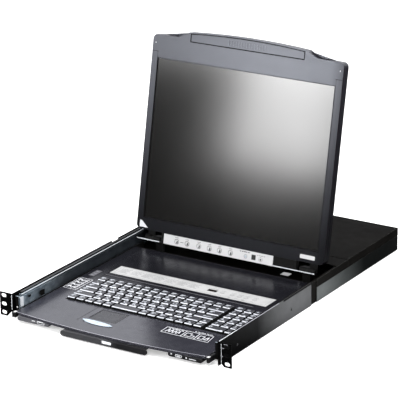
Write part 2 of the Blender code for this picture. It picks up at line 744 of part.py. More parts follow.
def hinge_leaf(lcd, side, sign):
    """The moving half of a hinge: a bored barrel and an arm into the screen's shell."""
    near, far = HINGE_SPANS["leaf"]
    centre = sign * (near + far) / 2
    name = "hinge_leaf_" + side
    leaf = rod(name, (centre, 0, 0), BARREL_R, far - near, "X", "black_steel", lcd, sides=24)
    weld(leaf, box(name + "_arm", (sign * near, sign * far), forward(-5.6, -4.0), (2.0, 34.0), None, lcd))
    cut(leaf, rod(name + "_bore", (centre, 0, 0), PIN_R + GAP, far - near + 4, "X", None, lcd, sides=16))


def build():
    chassis_tray()
    covers()
    rear_panel_and_sockets()
    power_rocker()
    inner_electronics()
    drawer_pan()
    keyboard_deck()
    front_handle()
    keyboard()
    touchpad()
    port_panel()
    lcd = screen_empty()
    screen_shells(lcd)
    screen_inside(lcd)
    screen_chin(lcd)
    for side, sign in SIDES.items():
        ear_bracket(side, sign)
        rear_bracket(side, sign)
        slides(side, sign)
        front_cap(side, sign)
        release_catch(side, sign)
        hinge_base(side, sign)
        hinge_leaf(lcd, side, sign)


clear_scene()
PARTS = new_collection(NAME)
CONSTRUCTION = new_collection(NAME + "_construction")
build()
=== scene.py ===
"""Looks for the rack console drawer: materials, keys, sockets, screws, printed marks, light and camera.

Sizes are millimetres. A flat detail is drawn on a face: u to the right, v up the face, w out of it,
and one matrix per face takes (u, v, w) to the shared frame, in metres.
"""
import json
import math

import bmesh
import bpy
from mathutils import Matrix, Vector


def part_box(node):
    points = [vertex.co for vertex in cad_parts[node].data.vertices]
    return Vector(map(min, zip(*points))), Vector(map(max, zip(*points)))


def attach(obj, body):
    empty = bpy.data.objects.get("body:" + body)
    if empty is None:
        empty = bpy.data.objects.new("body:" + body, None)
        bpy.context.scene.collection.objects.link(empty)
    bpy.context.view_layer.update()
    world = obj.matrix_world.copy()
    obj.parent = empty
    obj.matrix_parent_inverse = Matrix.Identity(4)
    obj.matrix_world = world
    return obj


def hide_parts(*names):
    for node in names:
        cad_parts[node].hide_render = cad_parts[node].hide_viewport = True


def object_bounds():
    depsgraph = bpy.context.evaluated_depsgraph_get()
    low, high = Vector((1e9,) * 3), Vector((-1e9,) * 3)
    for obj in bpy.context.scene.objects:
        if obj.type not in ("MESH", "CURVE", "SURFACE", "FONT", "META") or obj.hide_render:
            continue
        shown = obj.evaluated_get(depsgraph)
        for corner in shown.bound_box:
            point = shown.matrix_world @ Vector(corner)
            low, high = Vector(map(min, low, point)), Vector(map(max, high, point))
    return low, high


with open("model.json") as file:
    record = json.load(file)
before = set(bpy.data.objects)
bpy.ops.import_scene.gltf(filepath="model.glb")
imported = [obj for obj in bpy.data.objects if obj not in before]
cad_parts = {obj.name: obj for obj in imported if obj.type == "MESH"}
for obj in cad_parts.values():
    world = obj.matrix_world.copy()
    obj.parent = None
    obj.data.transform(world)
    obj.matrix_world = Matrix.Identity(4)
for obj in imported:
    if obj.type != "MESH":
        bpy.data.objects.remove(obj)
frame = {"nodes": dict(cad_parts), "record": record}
CAD_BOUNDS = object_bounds()
MM = 0.001

# The CAD's own places, millimetres from the front face of the rack ears
MID_Y = 307.75
DECK_TOP = 17.6
HINGE_Y = 383.5
HINGE_Z = 33.6
TILT = math.radians(11.66)
BEZEL_F = 9.3
CHIN_F = 8.4
SIDE_X = 215.6
REAR_Y = 638.8

# Camera
CAMERA_AT = (2.15873, -3.37407, 1.57555)
CAMERA_AZIMUTH = math.radians(32.43)
CAMERA_ELEVATION = math.radians(19.55)
CAMERA_ROLL = math.radians(-0.85)
CAMERA_LENS = 211.6
CAMERA_SHIFT = (-0.0340, 0.0132)

# Light: strength of the sky behind and before the object, and what gloss sees in the floor
WORLD_BACK = 1.5
WORLD_FRONT = 0.04
FLOOR_GLOW = 0.45
POOL_AT = (0.33, 0.0, 0.0)
POOL_EDGE = (0.09, 0.25)
# Name, place, aim, size and power of each softbox
SOFTBOXES = (
    ("overhead", (-0.2, 0.0, 3.0), (0, 0, 0), (2.6, 2.6), 135),
    ("front_fill", (0.7, -2.2, 1.7), (0, 0, 0.1), (1.2, 1.2), 26),
    ("right_fill", (1.6, -0.35, 0.5), (-0.2, -0.2, 0.03), (0.8, 0.8), 16),
    ("left_front", (-0.70, -1.336, 0.468), (0.1, 0.12, 0.3), (0.27, 0.435), 6.8),
    ("left_strip", (-0.775, -0.992, 0.535), (0.1, 0.12, 0.3), (0.80, 0.15), 2.5),
)

# ---- faces ----
ROOM = Matrix.Diagonal((MM, MM, MM, 1)) @ Matrix.Translation((0, -MID_Y, 0))
LEAN = Matrix(((1, 0, 0, 0), (0, math.sin(TILT), -math.cos(TILT), 0), (0, math.cos(TILT), math.sin(TILT), 0),
               (0, 0, 0, 1)))


def facing(u, v, origin):
    """Matrix of a face whose right is u and whose up is v, through origin."""
    u, v = Vector(u), Vector(v)
    turn = Matrix((u, v, u.cross(v))).transposed().to_4x4()
    return ROOM @ Matrix.Translation(origin) @ turn


DECK = facing((1, 0, 0), (0, 1, 0), (0, 0, DECK_TOP))
SCREEN = ROOM @ Matrix.Translation((0, HINGE_Y, HINGE_Z)) @ LEAN
RIGHT = facing((0, 1, 0), (0, 0, 1), (0, 0, 0))
LEFT = facing((0, -1, 0), (0, 0, 1), (0, 0, 0))
FRONT = facing((1, 0, 0), (0, 0, 1), (0, 0, 0))
REAR = facing((-1, 0, 0), (0, 0, 1), (0, REAR_Y, 0))


# ---- mesh helpers ----
def block(bm, u, v, w):
    """Box between two values on each axis."""
    middle = [(a + b) / 2 for a, b in (u, v, w)]
    size = [abs(b - a) for a, b in (u, v, w)]
    matrix = Matrix.Translation(middle) @ Matrix.Diagonal((*size, 1))
    bmesh.ops.create_cube(bm, size=1, matrix=matrix)


def line(bm, start, end, width, w):
    """Thin bar from start to end on the face."""
    a, b = Vector(start), Vector(end)
    along = b - a
    matrix = (Matrix.Translation(((a.x + b.x) / 2, (a.y + b.y) / 2, (w[0] + w[1]) / 2))
              @ Matrix.Rotation(math.atan2(along.y, along.x), 4, "Z")
              @ Matrix.Diagonal((along.length + width, width, w[1] - w[0], 1)))
    bmesh.ops.create_cube(bm, size=1, matrix=matrix)


def path(bm, points, width, w, closed=False):
    """Thin bars from point to point."""
    ends = points[1:] + points[:1] if closed else points[1:]
    for start, end in zip(points, ends):
        line(bm, start, end, width, w)


def outline(bm, u, v, width, w):
    """Rectangular frame."""
    path(bm, [(u[0], v[0]), (u[1], v[0]), (u[1], v[1]), (u[0], v[1])], width, w, closed=True)


def disc(bm, centre, radius, w, sides=24, top=None):
    """Upright cylinder or cone on the face."""
    top = radius if top is None else top
    matrix = Matrix.Translation((centre[0], centre[1], (w[0] + w[1]) / 2))
    bmesh.ops.create_cone(bm, cap_ends=True, segments=sides, radius1=radius, radius2=top, depth=w[1] - w[0],
                          matrix=matrix)


def loft(bm, rings, open_ends=False):
    """Closed skin through rings with the same number of points."""
    made = [[bm.verts.new(p) for p in ring] for ring in rings]
    count = len(made[0])
    skin = []
    for low, high in zip(made, made[1:]):
        for i in range(count):
            j = (i + 1) % count
            skin.append(bm.faces.new((low[i], low[j], high[j], high[i])))
    if open_ends:
        for i in range(count):
            j = (i + 1) % count
            bm.faces.new((made[-1][i], made[-1][j], made[0][j], made[0][i]))
    else:
        skin.append(bm.faces.new(list(reversed(made[0]))))
        skin.append(bm.faces.new(made[-1]))
    return skin


def prism(bm, points, w):
    """Flat shape of any outline between two heights."""
    loft(bm, [[(*p, height) for p in points] for height in w])


def circle(centre, radius, w, sides):
    turn = 2 * math.pi / sides
    return [(centre[0] + radius * math.cos(i * turn), centre[1] + radius * math.sin(i * turn), w)
            for i in range(sides)]


def ring(bm, centre, outer, inner, w):
    """Flat washer."""
    section = ((outer, w[0]), (outer, w[1]), (inner, w[1]), (inner, w[0]))
    loft(bm, [circle(centre, radius, height, 32) for radius, height in section], open_ends=True)


def rounded_ring(u, v, radius, w):
    """Rounded rectangle at height w."""
    steps = 3
    points = []
    for sign_u, sign_v, first in ((1, 1, 0), (-1, 1, 90), (-1, -1, 180), (1, -1, 270)):
        centre_u = (u[1] - radius) if sign_u > 0 else (u[0] + radius)
        centre_v = (v[1] - radius) if sign_v > 0 else (v[0] + radius)
        for i in range(steps + 1):
            a = math.radians(first + 90 * i / steps)
            points.append((centre_u + radius * math.cos(a), centre_v + radius * math.sin(a), w))
    return points


def plate(bm, u, v, w, radius, soften=0.0):
    """Rounded plate with a softened top edge."""
    rings = [rounded_ring(u, v, radius, w[0]), rounded_ring(u, v, radius, w[1] - soften)]
    if soften:
        u, v = (u[0] + soften, u[1] - soften), (v[0] + soften, v[1] - soften)
        rings.append(rounded_ring(u, v, max(radius - soften, 0.02), w[1]))
    loft(bm, rings)


# Radius and height of the head's rings, and the reach of the cross recess at each of its points
SCREW_HEAD = ((1.0, 0.0), (1.0, 0.22), (0.93, 0.38), (0.72, 0.5))
SCREW_CROSS = (0.52, 0.20, 0.16, 0.20)


def screw(bm, centre, w, radius):
    """Pan-head screw with a cross recess."""
    sides = 16
    rings = [circle(centre, radius * reach, w + radius * height, sides) for reach, height in SCREW_HEAD]
    for height in (0.5, 0.12):
        spots = enumerate(circle((0, 0), radius, w + radius * height, sides))
        rings.append([(centre[0] + u * SCREW_CROSS[i % 4], centre[1] + v * SCREW_CROSS[i % 4], z)
                      for i, (u, v, z) in spots])
    loft(bm, rings)


def add_object(name, data):
    made = bpy.data.objects.new(name, data)
    bpy.context.scene.collection.objects.link(made)
    return made


GLYPHS = {}


def glyph_mesh(letter):
    """Mesh of one character, 1 unit tall, as a thin closed solid."""
    if letter not in GLYPHS:
        curve = bpy.data.curves.new("glyph", "FONT")
        curve.body = letter
        curve.size = 1.37
        curve.resolution_u = 2
        curve.extrude = 0.5
        curve.align_x = "CENTER"
        holder = add_object("glyph", curve)
        bpy.context.view_layer.update()
        made = bpy.data.meshes.new_from_object(holder.evaluated_get(bpy.context.evaluated_depsgraph_get()))
        bpy.data.objects.remove(holder)
        bpy.data.curves.remove(curve)
        GLYPHS[letter] = made
    return GLYPHS[letter]


def glyph(bm, letter, at, height, w, stretch):
    """Character standing on the point at, in the face."""
    before = len(bm.verts)
    bm.from_mesh(glyph_mesh(letter))
    bm.verts.ensure_lookup_table()
    matrix = (Matrix.Translation((at[0], at[1], (w[0] + w[1]) / 2))
              @ Matrix.Diagonal((height * stretch, height, w[1] - w[0], 1)))
    bmesh.ops.transform(bm, matrix=matrix, verts=bm.verts[before:])


def piece(name, bm, face, body, look, bevel=0.0, smooth=None, stands_for=()):
    """Makes the object of a mesh drawn on a face, and rides it on its body."""
    bmesh.ops.transform(bm, matrix=face, verts=bm.verts)
    bmesh.ops.recalc_face_normals(bm, faces=bm.faces)
    mesh = bpy.data.meshes.new(name)
    bm.to_mesh(mesh)
    bm.free()
    mesh.materials.append(M[look])
    made = add_object(name, mesh)
    if smooth:
        mesh.shade_smooth()
        mesh.set_sharp_from_angle(angle=math.radians(smooth))
    if bevel:
        soft = made.modifiers.new("soft_edges", "BEVEL")
        soft.width = bevel * MM
        soft.segments = 2
        soft.limit_method = "ANGLE"
        soft.angle_limit = math.radians(35)
    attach(made, body)
    if stands_for:
        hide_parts(*stands_for)
    return made


# ---- materials ----
class Finish:
    """Node tree of one procedural material."""

    def __init__(self):
        self.material = bpy.data.materials.new("finish")
        self.material.use_nodes = True
        self.nodes = self.material.node_tree.nodes
        self.links = self.material.node_tree.links
        self.shader = self.nodes["Principled BSDF"]
        self.coords = self.nodes.new("ShaderNodeTexCoord").outputs["Object"]

    def stretched(self, scale):
        mapping = self.nodes.new("ShaderNodeMapping")
        mapping.inputs["Scale"].default_value = scale
        self.links.new(self.coords, mapping.inputs["Vector"])
        return mapping.outputs["Vector"]

    def noise(self, scale, detail, vector=None):
        made = self.nodes.new("ShaderNodeTexNoise")
        made.inputs["Scale"].default_value = scale
        made.inputs["Detail"].default_value = detail
        self.links.new(vector or self.coords, made.inputs["Vector"])
        return made.outputs["Fac"]

    def cells(self, scale, vector=None):
        made = self.nodes.new("ShaderNodeTexVoronoi")
        made.inputs["Scale"].default_value = scale
        self.links.new(vector or self.coords, made.inputs["Vector"])
        return made.outputs["Distance"]

    def spread(self, value, low, high, lowest, highest):
        made = self.nodes.new("ShaderNodeMapRange")
        for name, number in (("From Min", low), ("From Max", high), ("To Min", lowest), ("To Max", highest)):
            made.inputs[name].default_value = number
        self.links.new(value, made.inputs["Value"])
        return made.outputs["Result"]

    def mix(self, factor, first, second):
        made = self.nodes.new("ShaderNodeMix")
        made.data_type = "RGBA"
        self.links.new(factor, made.inputs["Factor"])
        for socket, colour in (("A", first), ("B", second)):
            target = next(s for s in made.inputs if s.name == socket and s.type == "RGBA")
            if isinstance(colour, tuple):
                target.default_value = (*colour, 1)
            else:
                self.links.new(colour, target)
        return next(s for s in made.outputs if s.type == "RGBA")

    def multiply(self, first, second):
        made = self.nodes.new("ShaderNodeMath")
        made.operation = "MULTIPLY"
        self.links.new(first, made.inputs[0])
        self.links.new(second, made.inputs[1])
        return made.outputs[0]

    def edges(self, radius):
        """One along the object's sharp edges, nought on its flats."""
        bevel = self.nodes.new("ShaderNodeBevel")
        bevel.samples = 4
        bevel.inputs["Radius"].default_value = radius * MM
        normal = self.nodes.new("ShaderNodeNewGeometry").outputs["Normal"]
        dot = self.nodes.new("ShaderNodeVectorMath")
        dot.operation = "DOT_PRODUCT"
        self.links.new(bevel.outputs[0], dot.inputs[0])
        self.links.new(normal, dot.inputs[1])
        return self.spread(dot.outputs["Value"], 0.98, 0.8, 0.0, 1.0)

    def bump(self, height, distance):
        made = self.nodes.new("ShaderNodeBump")
        made.inputs["Distance"].default_value = distance * MM
        self.links.new(height, made.inputs["Height"])
        self.links.new(made.outputs["Normal"], self.shader.inputs["Normal"])

    def value(self, number):
        """Constant that can feed another node."""
        made = self.nodes.new("ShaderNodeValue")
        made.outputs[0].default_value = number
        return made.outputs[0]

    def band(self, value, low, high):
        """One between low and high, nought outside."""
        soft = 0.2 * MM
        return self.multiply(self.spread(value, low - soft, low, 0.0, 1.0),
                             self.spread(value, high, high + soft, 1.0, 0.0))

    def along(self, axis):
        """One object coordinate, in metres."""
        parts = self.nodes.new("ShaderNodeSeparateXYZ")
        self.links.new(self.coords, parts.inputs[0])
        return parts.outputs[axis]

    def patches(self, scale, detail, low=0.0, high=1.0):
        """Soft patches between two values."""
        return self.spread(self.noise(scale, detail), 0.3, 0.7, low, high)

    def feed(self, value, name="Base Color"):
        self.links.new(value, self.shader.inputs[name])

    def set(self, **values):
        for name, value in values.items():
            self.shader.inputs[name.replace("_", " ")].default_value = value


def coated(colour, tint, rough, edge_wear_and_highlight_colour, grain=1500, depth=0.02, metallic=0.0, specular=0.5, edge_wear_and_highlight_amount=0.45,
           patch=14.0, edge=0.5, sheen=(1, 1, 1), painted_light_fades=(), inlay=None, uneven=0.045):
    """Painted or moulded surface: mottled colour, fine grain, uneven gloss, and lighter edges, from use and,
    on the keys and deck, also as a painted highlight.

    fades = ((axis, start, end, low, high), ...): painted light and shade, colour and gloss changing along an
    axis.
    inlay = (x range, z range, colour): a rectangle of another colour, in metres.
    """
    f = Finish()
    base = f.mix(f.spread(f.noise(patch, 4.0), 0.35, 0.65, 0.0, 1.0), colour, tint)
    # Lighter edges: from use, and on the keys and deck a painted highlight.
    edge_wear_and_highlight = f.multiply(f.edges(edge), f.patches(160, 3.0, edge_wear_and_highlight_amount * 0.4, edge_wear_and_highlight_amount))
    base = f.mix(edge_wear_and_highlight, base, edge_wear_and_highlight_colour)
    f.set(Specular_IOR_Level=specular)
    # Painted light and shade: colour and gloss scaled along an axis.
    if painted_light_fades:
        level = f.value(1.0)
        for axis, start, end, low, high in painted_light_fades:
            level = f.multiply(level, f.spread(f.along(axis), start, end, low, high))
        base = f.mix(level, (0, 0, 0), base)
        f.feed(f.multiply(level, f.value(specular)), "Specular IOR Level")
    if inlay:
        inside = f.multiply(f.band(f.along(0), *inlay[0]), f.band(f.along(2), *inlay[1]))
        base = f.mix(inside, base, inlay[2])
    f.feed(base)
    f.feed(f.patches(55, 4.0, rough - uneven, rough + uneven), "Roughness")
    f.bump(f.noise(grain, 2.0), depth)
    f.set(Metallic=metallic, Specular_Tint=(*sheen, 1))
    return f.material


def brushed(colour, tint, rough, along, edge_wear_and_highlight_colour, metallic=1.0, depth=0.01):
    """Metal or metallic paint with fine lines along one axis and cloudy patches."""
    f = Finish()
    lines = f.noise(1.0, 3.0, f.stretched(along))
    base = f.mix(f.patches(35, 4.0), colour, tint)
    edge_wear_and_highlight = f.multiply(f.edges(0.4), f.patches(210, 2.0, 0.2, 0.7))
    f.feed(f.mix(edge_wear_and_highlight, base, edge_wear_and_highlight_colour))
    f.feed(f.spread(lines, 0.25, 0.75, rough - 0.08, rough + 0.1), "Roughness")
    f.bump(lines, depth)
    f.set(Metallic=metallic)
    return f.material


def zinc_plate(colour, tint):
    """Passivated zinc: bluish crystals, drawn lines, small stains, and painted shade behind its front end.
    """
    f = Finish()
    crystals = f.cells(150, f.stretched((1, 0.25, 1)))
    stains = f.spread(f.noise(70, 5.0), 0.4, 0.62, 0.0, 0.8)
    base = f.mix(f.spread(crystals, 0.0, 0.8, 0.0, 1.0), colour, tint)
    base = f.mix(stains, base, tuple(0.55 * c for c in colour))
    # Painted shade: darker from the front edge back, nearly black from about 150 mm behind the front.
    painted_rear_shade = f.spread(f.along(1), -0.29, -0.16, 0.0, 0.93)
    f.feed(f.mix(painted_rear_shade, base, (0.02, 0.023, 0.028)))
    f.feed(f.patches(40, 4.0, 0.26, 0.42), "Roughness")
    f.bump(f.noise(1.0, 2.0, f.stretched((900, 30, 900))), 0.02)
    f.set(Metallic=0.45)
    return f.material


def panel_glass():
    """Dark anti-glare panel: etched grain, faint smears in the gloss."""
    f = Finish()
    smear = f.noise(6.0, 5.0, f.stretched((1.0, 1.0, 0.5)))
    f.feed(f.mix(f.spread(smear, 0.3, 0.7, 0.0, 1.0), (0.002, 0.0018, 0.0015), (0.004, 0.0036, 0.0032)))
    f.feed(f.spread(smear, 0.3, 0.7, 0.155, 0.175), "Roughness")
    f.bump(f.noise(3000, 1.0), 0.002)
    f.set(Specular_IOR_Level=0.55)
    return f.material


def printed(colour, tint):
    """Screen-printed ink: slightly uneven, with a grain that catches light."""
    f = Finish()
    f.feed(f.mix(f.patches(900, 3.0), colour, tint))
    f.feed(f.patches(300, 2.0, 0.45, 0.6), "Roughness")
    f.bump(f.noise(2200, 1.0), 0.01)
    return f.material


def glowing(colour, strength):
    """Small lamp lens with a brighter middle."""
    f = Finish()
    base = f.mix(f.spread(f.cells(700), 0.0, 0.6, 0.0, 1.0), colour, tuple(0.6 * c for c in colour))
    f.feed(base)
    f.feed(base, "Emission Color")
    f.feed(f.patches(400, 2.0, 0.15, 0.3), "Roughness")
    f.set(Emission_Strength=strength)
    return f.material


def solder_mask():
    """Green board with darker tracks and bright pads."""
    f = Finish()
    tracks = f.spread(f.cells(260, f.stretched((1, 0.2, 1))), 0.25, 0.3, 0.0, 1.0)
    base = f.mix(tracks, (0.008, 0.075, 0.03), (0.02, 0.13, 0.055))
    pads = f.spread(f.cells(420), 0.1, 0.06, 0.0, 1.0)
    f.feed(f.mix(pads, base, (0.6, 0.58, 0.5)))
    f.feed(f.patches(80, 2.0, 0.25, 0.4), "Roughness")
    f.bump(tracks, 0.03)
    return f.material


# Colour, colour of its patches, roughness and colour of the lighter edges (from use, and on the keys and
# deck also a painted highlight);
# brushed looks have their lines' scale before the last
M = {
    "powder": coated((0.004, 0.004, 0.0045), (0.007, 0.007, 0.008), 0.42, (0.4, 0.4, 0.42), grain=1300,
                     depth=0.03, specular=0.3, edge_wear_and_highlight_amount=0.5),
    "cover": coated((0.0032, 0.0029, 0.0025), (0.0052, 0.0048, 0.0042), 0.65, (0.25, 0.25, 0.24),
                    grain=1300, specular=0.02, edge_wear_and_highlight_amount=0.6),
    "matte": coated((0.004, 0.004, 0.004), (0.008, 0.008, 0.008), 0.6, (0.2, 0.2, 0.2), specular=0.12,
                    edge_wear_and_highlight_amount=0.5),
    # grey: painted shade, colour and gloss fading darker towards the back.
    "grey": coated((0.029, 0.035, 0.034), (0.042, 0.048, 0.047), 0.4, (0.3, 0.3, 0.3), grain=1100,
                   depth=0.03, edge_wear_and_highlight_amount=0.6, painted_light_fades=((1, 0.05, 0.20, 1.0, 0.1),)),
    # ear: painted shade, the front plate much darker than the legs further back.
    "ear": coated((0.014, 0.014, 0.015), (0.022, 0.022, 0.024), 0.42, (0.4, 0.4, 0.42), grain=1300,
                  depth=0.03, edge_wear_and_highlight_amount=0.4, painted_light_fades=((1, -0.18, -0.08, 0.08, 1.0),)),
    # wall: a lighter copy of the black powder coat, painted light on the top of the left wall.
    "wall": coated((0.02, 0.021, 0.023), (0.03, 0.031, 0.034), 0.42, (0.4, 0.4, 0.42), grain=1300,
                   depth=0.03, edge_wear_and_highlight_amount=0.5),
    "zinc": zinc_plate((0.30, 0.38, 0.46), (0.48, 0.56, 0.62)),
    # Light zinc for the slide ends and chin trim, and painted highlights on the left slide lip, the ear
    # bends and the right leg's front edge.
    "bright_zinc_and_highlight": coated((0.74, 0.77, 0.8), (0.66, 0.7, 0.74), 0.35, (0.9, 0.9, 0.9), grain=900,
                          depth=0.01, metallic=0.1, specular=0.6),
    "steel": brushed((0.62, 0.62, 0.64), (0.5, 0.5, 0.53), 0.3, (40, 1500, 1500), (0.85, 0.85, 0.86)),
    # deck: painted shade, colour and gloss darker towards the back; its lighter edges are partly a painted
    # highlight.
    "deck": coated((0.020, 0.020, 0.026), (0.026, 0.026, 0.034), 0.22, (0.5, 0.5, 0.56), grain=1700,
                   depth=0.004, specular=0.55, edge_wear_and_highlight_amount=0.7, sheen=(0.9, 0.92, 1.0),
                   painted_light_fades=((1, -0.22, -0.05, 1.0, 0.35),)),
    "pad": coated((0.012, 0.012, 0.015), (0.017, 0.017, 0.021), 0.27, (0.3, 0.3, 0.34), grain=1900,
                  depth=0.004, specular=0.33, sheen=(0.9, 0.92, 1.0)),
    # bezel: painted reflection and shade, lighter towards the top, darker towards the bottom and the right
    # edge, a little lighter at the left edge.
    "bezel": coated((0.008, 0.007, 0.010), (0.012, 0.011, 0.015), 0.33, (0.16, 0.16, 0.2), specular=0.6,
                    edge_wear_and_highlight_amount=0.4, sheen=(0.86, 0.9, 1.0),
                    painted_light_fades=((2, 0.08, 0.40, 0.32, 1.35),
                           (0, 0.180, 0.214, 1.0, 0.35), (0, -0.217, -0.18, 1.15, 1.0)),
                    uneven=0.008),
    "cap": coated((0.07, 0.07, 0.08), (0.09, 0.09, 0.1), 0.45, (0.3, 0.3, 0.32), depth=0.03),
    "black": coated((0.006, 0.006, 0.007), (0.01, 0.01, 0.011), 0.4, (0.1, 0.1, 0.11), grain=1900,
                    depth=0.03, specular=0.45),
    # handle: painted shade, darker to the right of the middle; the inlay is the white badge.
    "handle": coated((0.03, 0.03, 0.034), (0.045, 0.045, 0.05), 0.45, (0.3, 0.3, 0.32), depth=0.03,
                     specular=0.4, painted_light_fades=((0, 0.0, 0.03, 1.0, 0.3),),
                     inlay=((-0.002, 0.0165), (0.0058, 0.0106), (0.75, 0.77, 0.8))),
    # key: its light edges are a painted highlight; key_rim_highlight: a painted highlight for each key's
    # front rim.
    "key": coated((0.022, 0.023, 0.028), (0.03, 0.031, 0.037), 0.36, (0.75, 0.77, 0.82), grain=2400,
                  edge_wear_and_highlight_amount=0.75, edge=0.7),
    "key_rim_highlight": coated((0.52, 0.54, 0.59), (0.66, 0.68, 0.73), 0.3, (0.8, 0.82, 0.86), grain=2400, edge_wear_and_highlight_amount=0.8,
                      patch=40),
    # edge: light grey for painted highlights along the deck's front edge and the right leg's top edge.
    "edge": coated((0.22, 0.22, 0.25), (0.36, 0.36, 0.4), 0.3, (0.6, 0.6, 0.65), grain=1700, depth=0.01,
                   patch=30),
    # Near black for grooves, slots, seams, vents, the tab covers and the studio flag, and painted shade on
    # the key skirts, the left slide and the right leg.
    "gap_and_shade": coated((0.002, 0.002, 0.002), (0.004, 0.004, 0.004), 0.8, (0.01, 0.01, 0.01), specular=0.1,
                  edge_wear_and_highlight_amount=0.1),
    "silver": brushed((0.65, 0.65, 0.66), (0.71, 0.71, 0.72), 0.42, (30, 1800, 1800), (0.9, 0.9, 0.9),
                      metallic=0.0, depth=0.006),
    "panel": brushed((0.40, 0.40, 0.40), (0.50, 0.50, 0.50), 0.45, (30, 1800, 1800), (0.8, 0.8, 0.8),
                     metallic=0.1, depth=0.006),
    "ice": coated((0.38, 0.46, 0.54), (0.47, 0.54, 0.61), 0.35, (0.9, 0.92, 0.95), grain=1600),
    "glass": panel_glass(),
    "board": solder_mask(),
    "white": coated((0.7, 0.7, 0.7), (0.62, 0.62, 0.64), 0.4, (0.85, 0.85, 0.85), depth=0.03),
    "ink": printed((0.78, 0.79, 0.82), (0.66, 0.67, 0.7)),
    "legend": printed((0.52, 0.54, 0.58), (0.43, 0.45, 0.49)),
    "grey_ink_and_highlight": printed((0.30, 0.30, 0.33), (0.22, 0.22, 0.25)),
    "panel_ink": printed((0.10, 0.10, 0.11), (0.16, 0.16, 0.17)),
    "dark_ink_and_shadow": printed((0.02, 0.02, 0.024), (0.04, 0.04, 0.045)),
    "blue": coated((0.01, 0.04, 0.22), (0.015, 0.05, 0.28), 0.4, (0.1, 0.2, 0.5)),
    "brass": brushed((0.75, 0.55, 0.22), (0.65, 0.46, 0.18), 0.25, (60, 60, 900), (0.9, 0.75, 0.4)),
    "lamp_red": glowing((0.05, 0.008, 0.006), 0.05),
}
for look, material in M.items():
    material.name = look
OF_SLOT = {"black_steel": "powder", "grey_steel": "grey", "zinc": "zinc", "bright_steel": "steel",
           "dark_plastic": "deck", "black_plastic": "black", "silver_plastic": "silver",
           "screen_glass": "glass", "circuit_board": "board", "white_plastic": "white"}
# Slot of a piece in each look, unless the piece names another
NODES_OF = {
    "cover": ("top_cover", "cover_strip", "chassis_tray"),
    "bezel": ("lcd_bezel", "lcd_grip", "lcd_back_cover"),
    "matte": ("lcd_chin", "drawer_pan", "hinge_base_left", "hinge_base_right", "hinge_leaf_left",
              "hinge_leaf_right"),
    "panel": ("port_panel", *(f"port_button_{number}" for number in range(1, 6))),
    "ear": ("ear_bracket_left", "ear_bracket_right"),
    # The left front cap gets the lighter grey as a painted reflection; the right one stays black.
    "cap": ("front_cap_left",),
    "black": ("front_cap_right",),
    "handle": ("front_handle",),
    "key": ("keyboard_plate",),
}
OF_NODE = {node: look for look, nodes in NODES_OF.items() for node in nodes}
SOFT_EDGE = {"keyboard_deck": 0.5, "lcd_bezel": 0.8, "top_cover": 0.5, "cover_strip": 0.4,
             "lcd_back_cover": 1.2, "front_handle": 0.8, "lcd_screen": 0.0, "lcd_backlight": 0.0}
DEFAULT_EDGE = 0.3


def dress_cad():
    """Materials and soft edges on every CAD node."""
    slot_of = {part["node"]: part["material_slot"] for part in frame["record"]["subparts"]}
    for name, node in frame["nodes"].items():
        mesh = node.data
        mesh.materials.clear()
        mesh.materials.append(M[OF_NODE.get(name, OF_SLOT[slot_of[name]])])
        if "custom_normal" in mesh.attributes:
            mesh.attributes.remove(mesh.attributes["custom_normal"])
        mesh.shade_flat()
        weld = node.modifiers.new("weld", "WELD")
        weld.merge_threshold = 0.00001
        flat = node.modifiers.new("flat_faces", "DECIMATE")
        flat.decimate_type = "DISSOLVE"
        flat.angle_limit = math.radians(0.5)
        width = SOFT_EDGE.get(name, DEFAULT_EDGE)
        if width:
            soft = node.modifiers.new("soft_edges", "BEVEL")
            soft.width = width * MM
            soft.segments = 2
            soft.limit_method = "ANGLE"
            soft.angle_limit = math.radians(40)


# ---- shared shapes ----
SIDES = ((-1, "left"), (1, "right"))


def across(side, near, far):
    """Range between two distances from the middle, on one side of it."""
    return sorted((side * near, side * far))


def blocks(name, face, body, look, slot, *boxes, bevel=0.0):
    """Piece made of plain boxes."""
    bm = bmesh.new()
    for u, v, w in boxes:
        block(bm, u, v, w)
    piece(name, bm, face, body, look, bevel)


def scribble(bm, u, v, w, count):
    """Short bars that stand for a line of small print."""
    width = (u[1] - u[0]) / count
    for i in range(count):
        share = 0.55 + 0.35 * ((i * 7) % 3) / 2
        block(bm, (u[0] + i * width, u[0] + (i + share) * width), v, w)


# ---- keyboard ----
PITCH = 19.05
KEYS_X = -158.5
KEYS_Y = 84.4
KEY_TOP = 21.8 - DECK_TOP
KEY_LOW = 13.8 - DECK_TOP
KEY_GAP = 0.35
# Inset, depth below the top and corner radius of each ring above the skirt's foot
KEY_PROFILE = ((1.5, 1.0, 1.4), (2.0, 0.25, 1.6), (2.6, 0.0, 1.7), (3.6, 0.12, 1.6), (5.4, 0.42, 1.2))
# Key widths in pitches, from the front row back; nought stands for the row's free key
ROW_WIDTHS = (
    (1,) * 5 + (0,) + (1,) * 7,
    (2.25,) + (1,) * 10 + (1.75, 1),
    (1.75,) + (1,) * 11 + (0,),
    (1.5,) + (1,) * 12 + (1.5,),
    (1,) * 13 + (2,),
    (1,) * 15,
)
FREE_KEYS = {0: ("space_bar", 3.0), 2: ("enter_key", 2.25)}
PAD_START = 15.3
PAD_WIDTHS = ((2, 1),) + ((1, 1, 1),) * 5
# One mark for each key of a row: a character, or a bar for a key that carries a word
BAR = "-"
LEGENDS = ("----- ---<v>-", "-ZXCVBNM,./-^", "-ASDFGHJKL;' ", "-QWERTYUIOP[]-", "`1234567890-=<", BAR * 15)
PAD_LEGENDS = ("0.", "123", "456", "789", "/*-", "-=+")
LEGEND_W = (KEY_TOP - 0.5, KEY_TOP + 0.02)
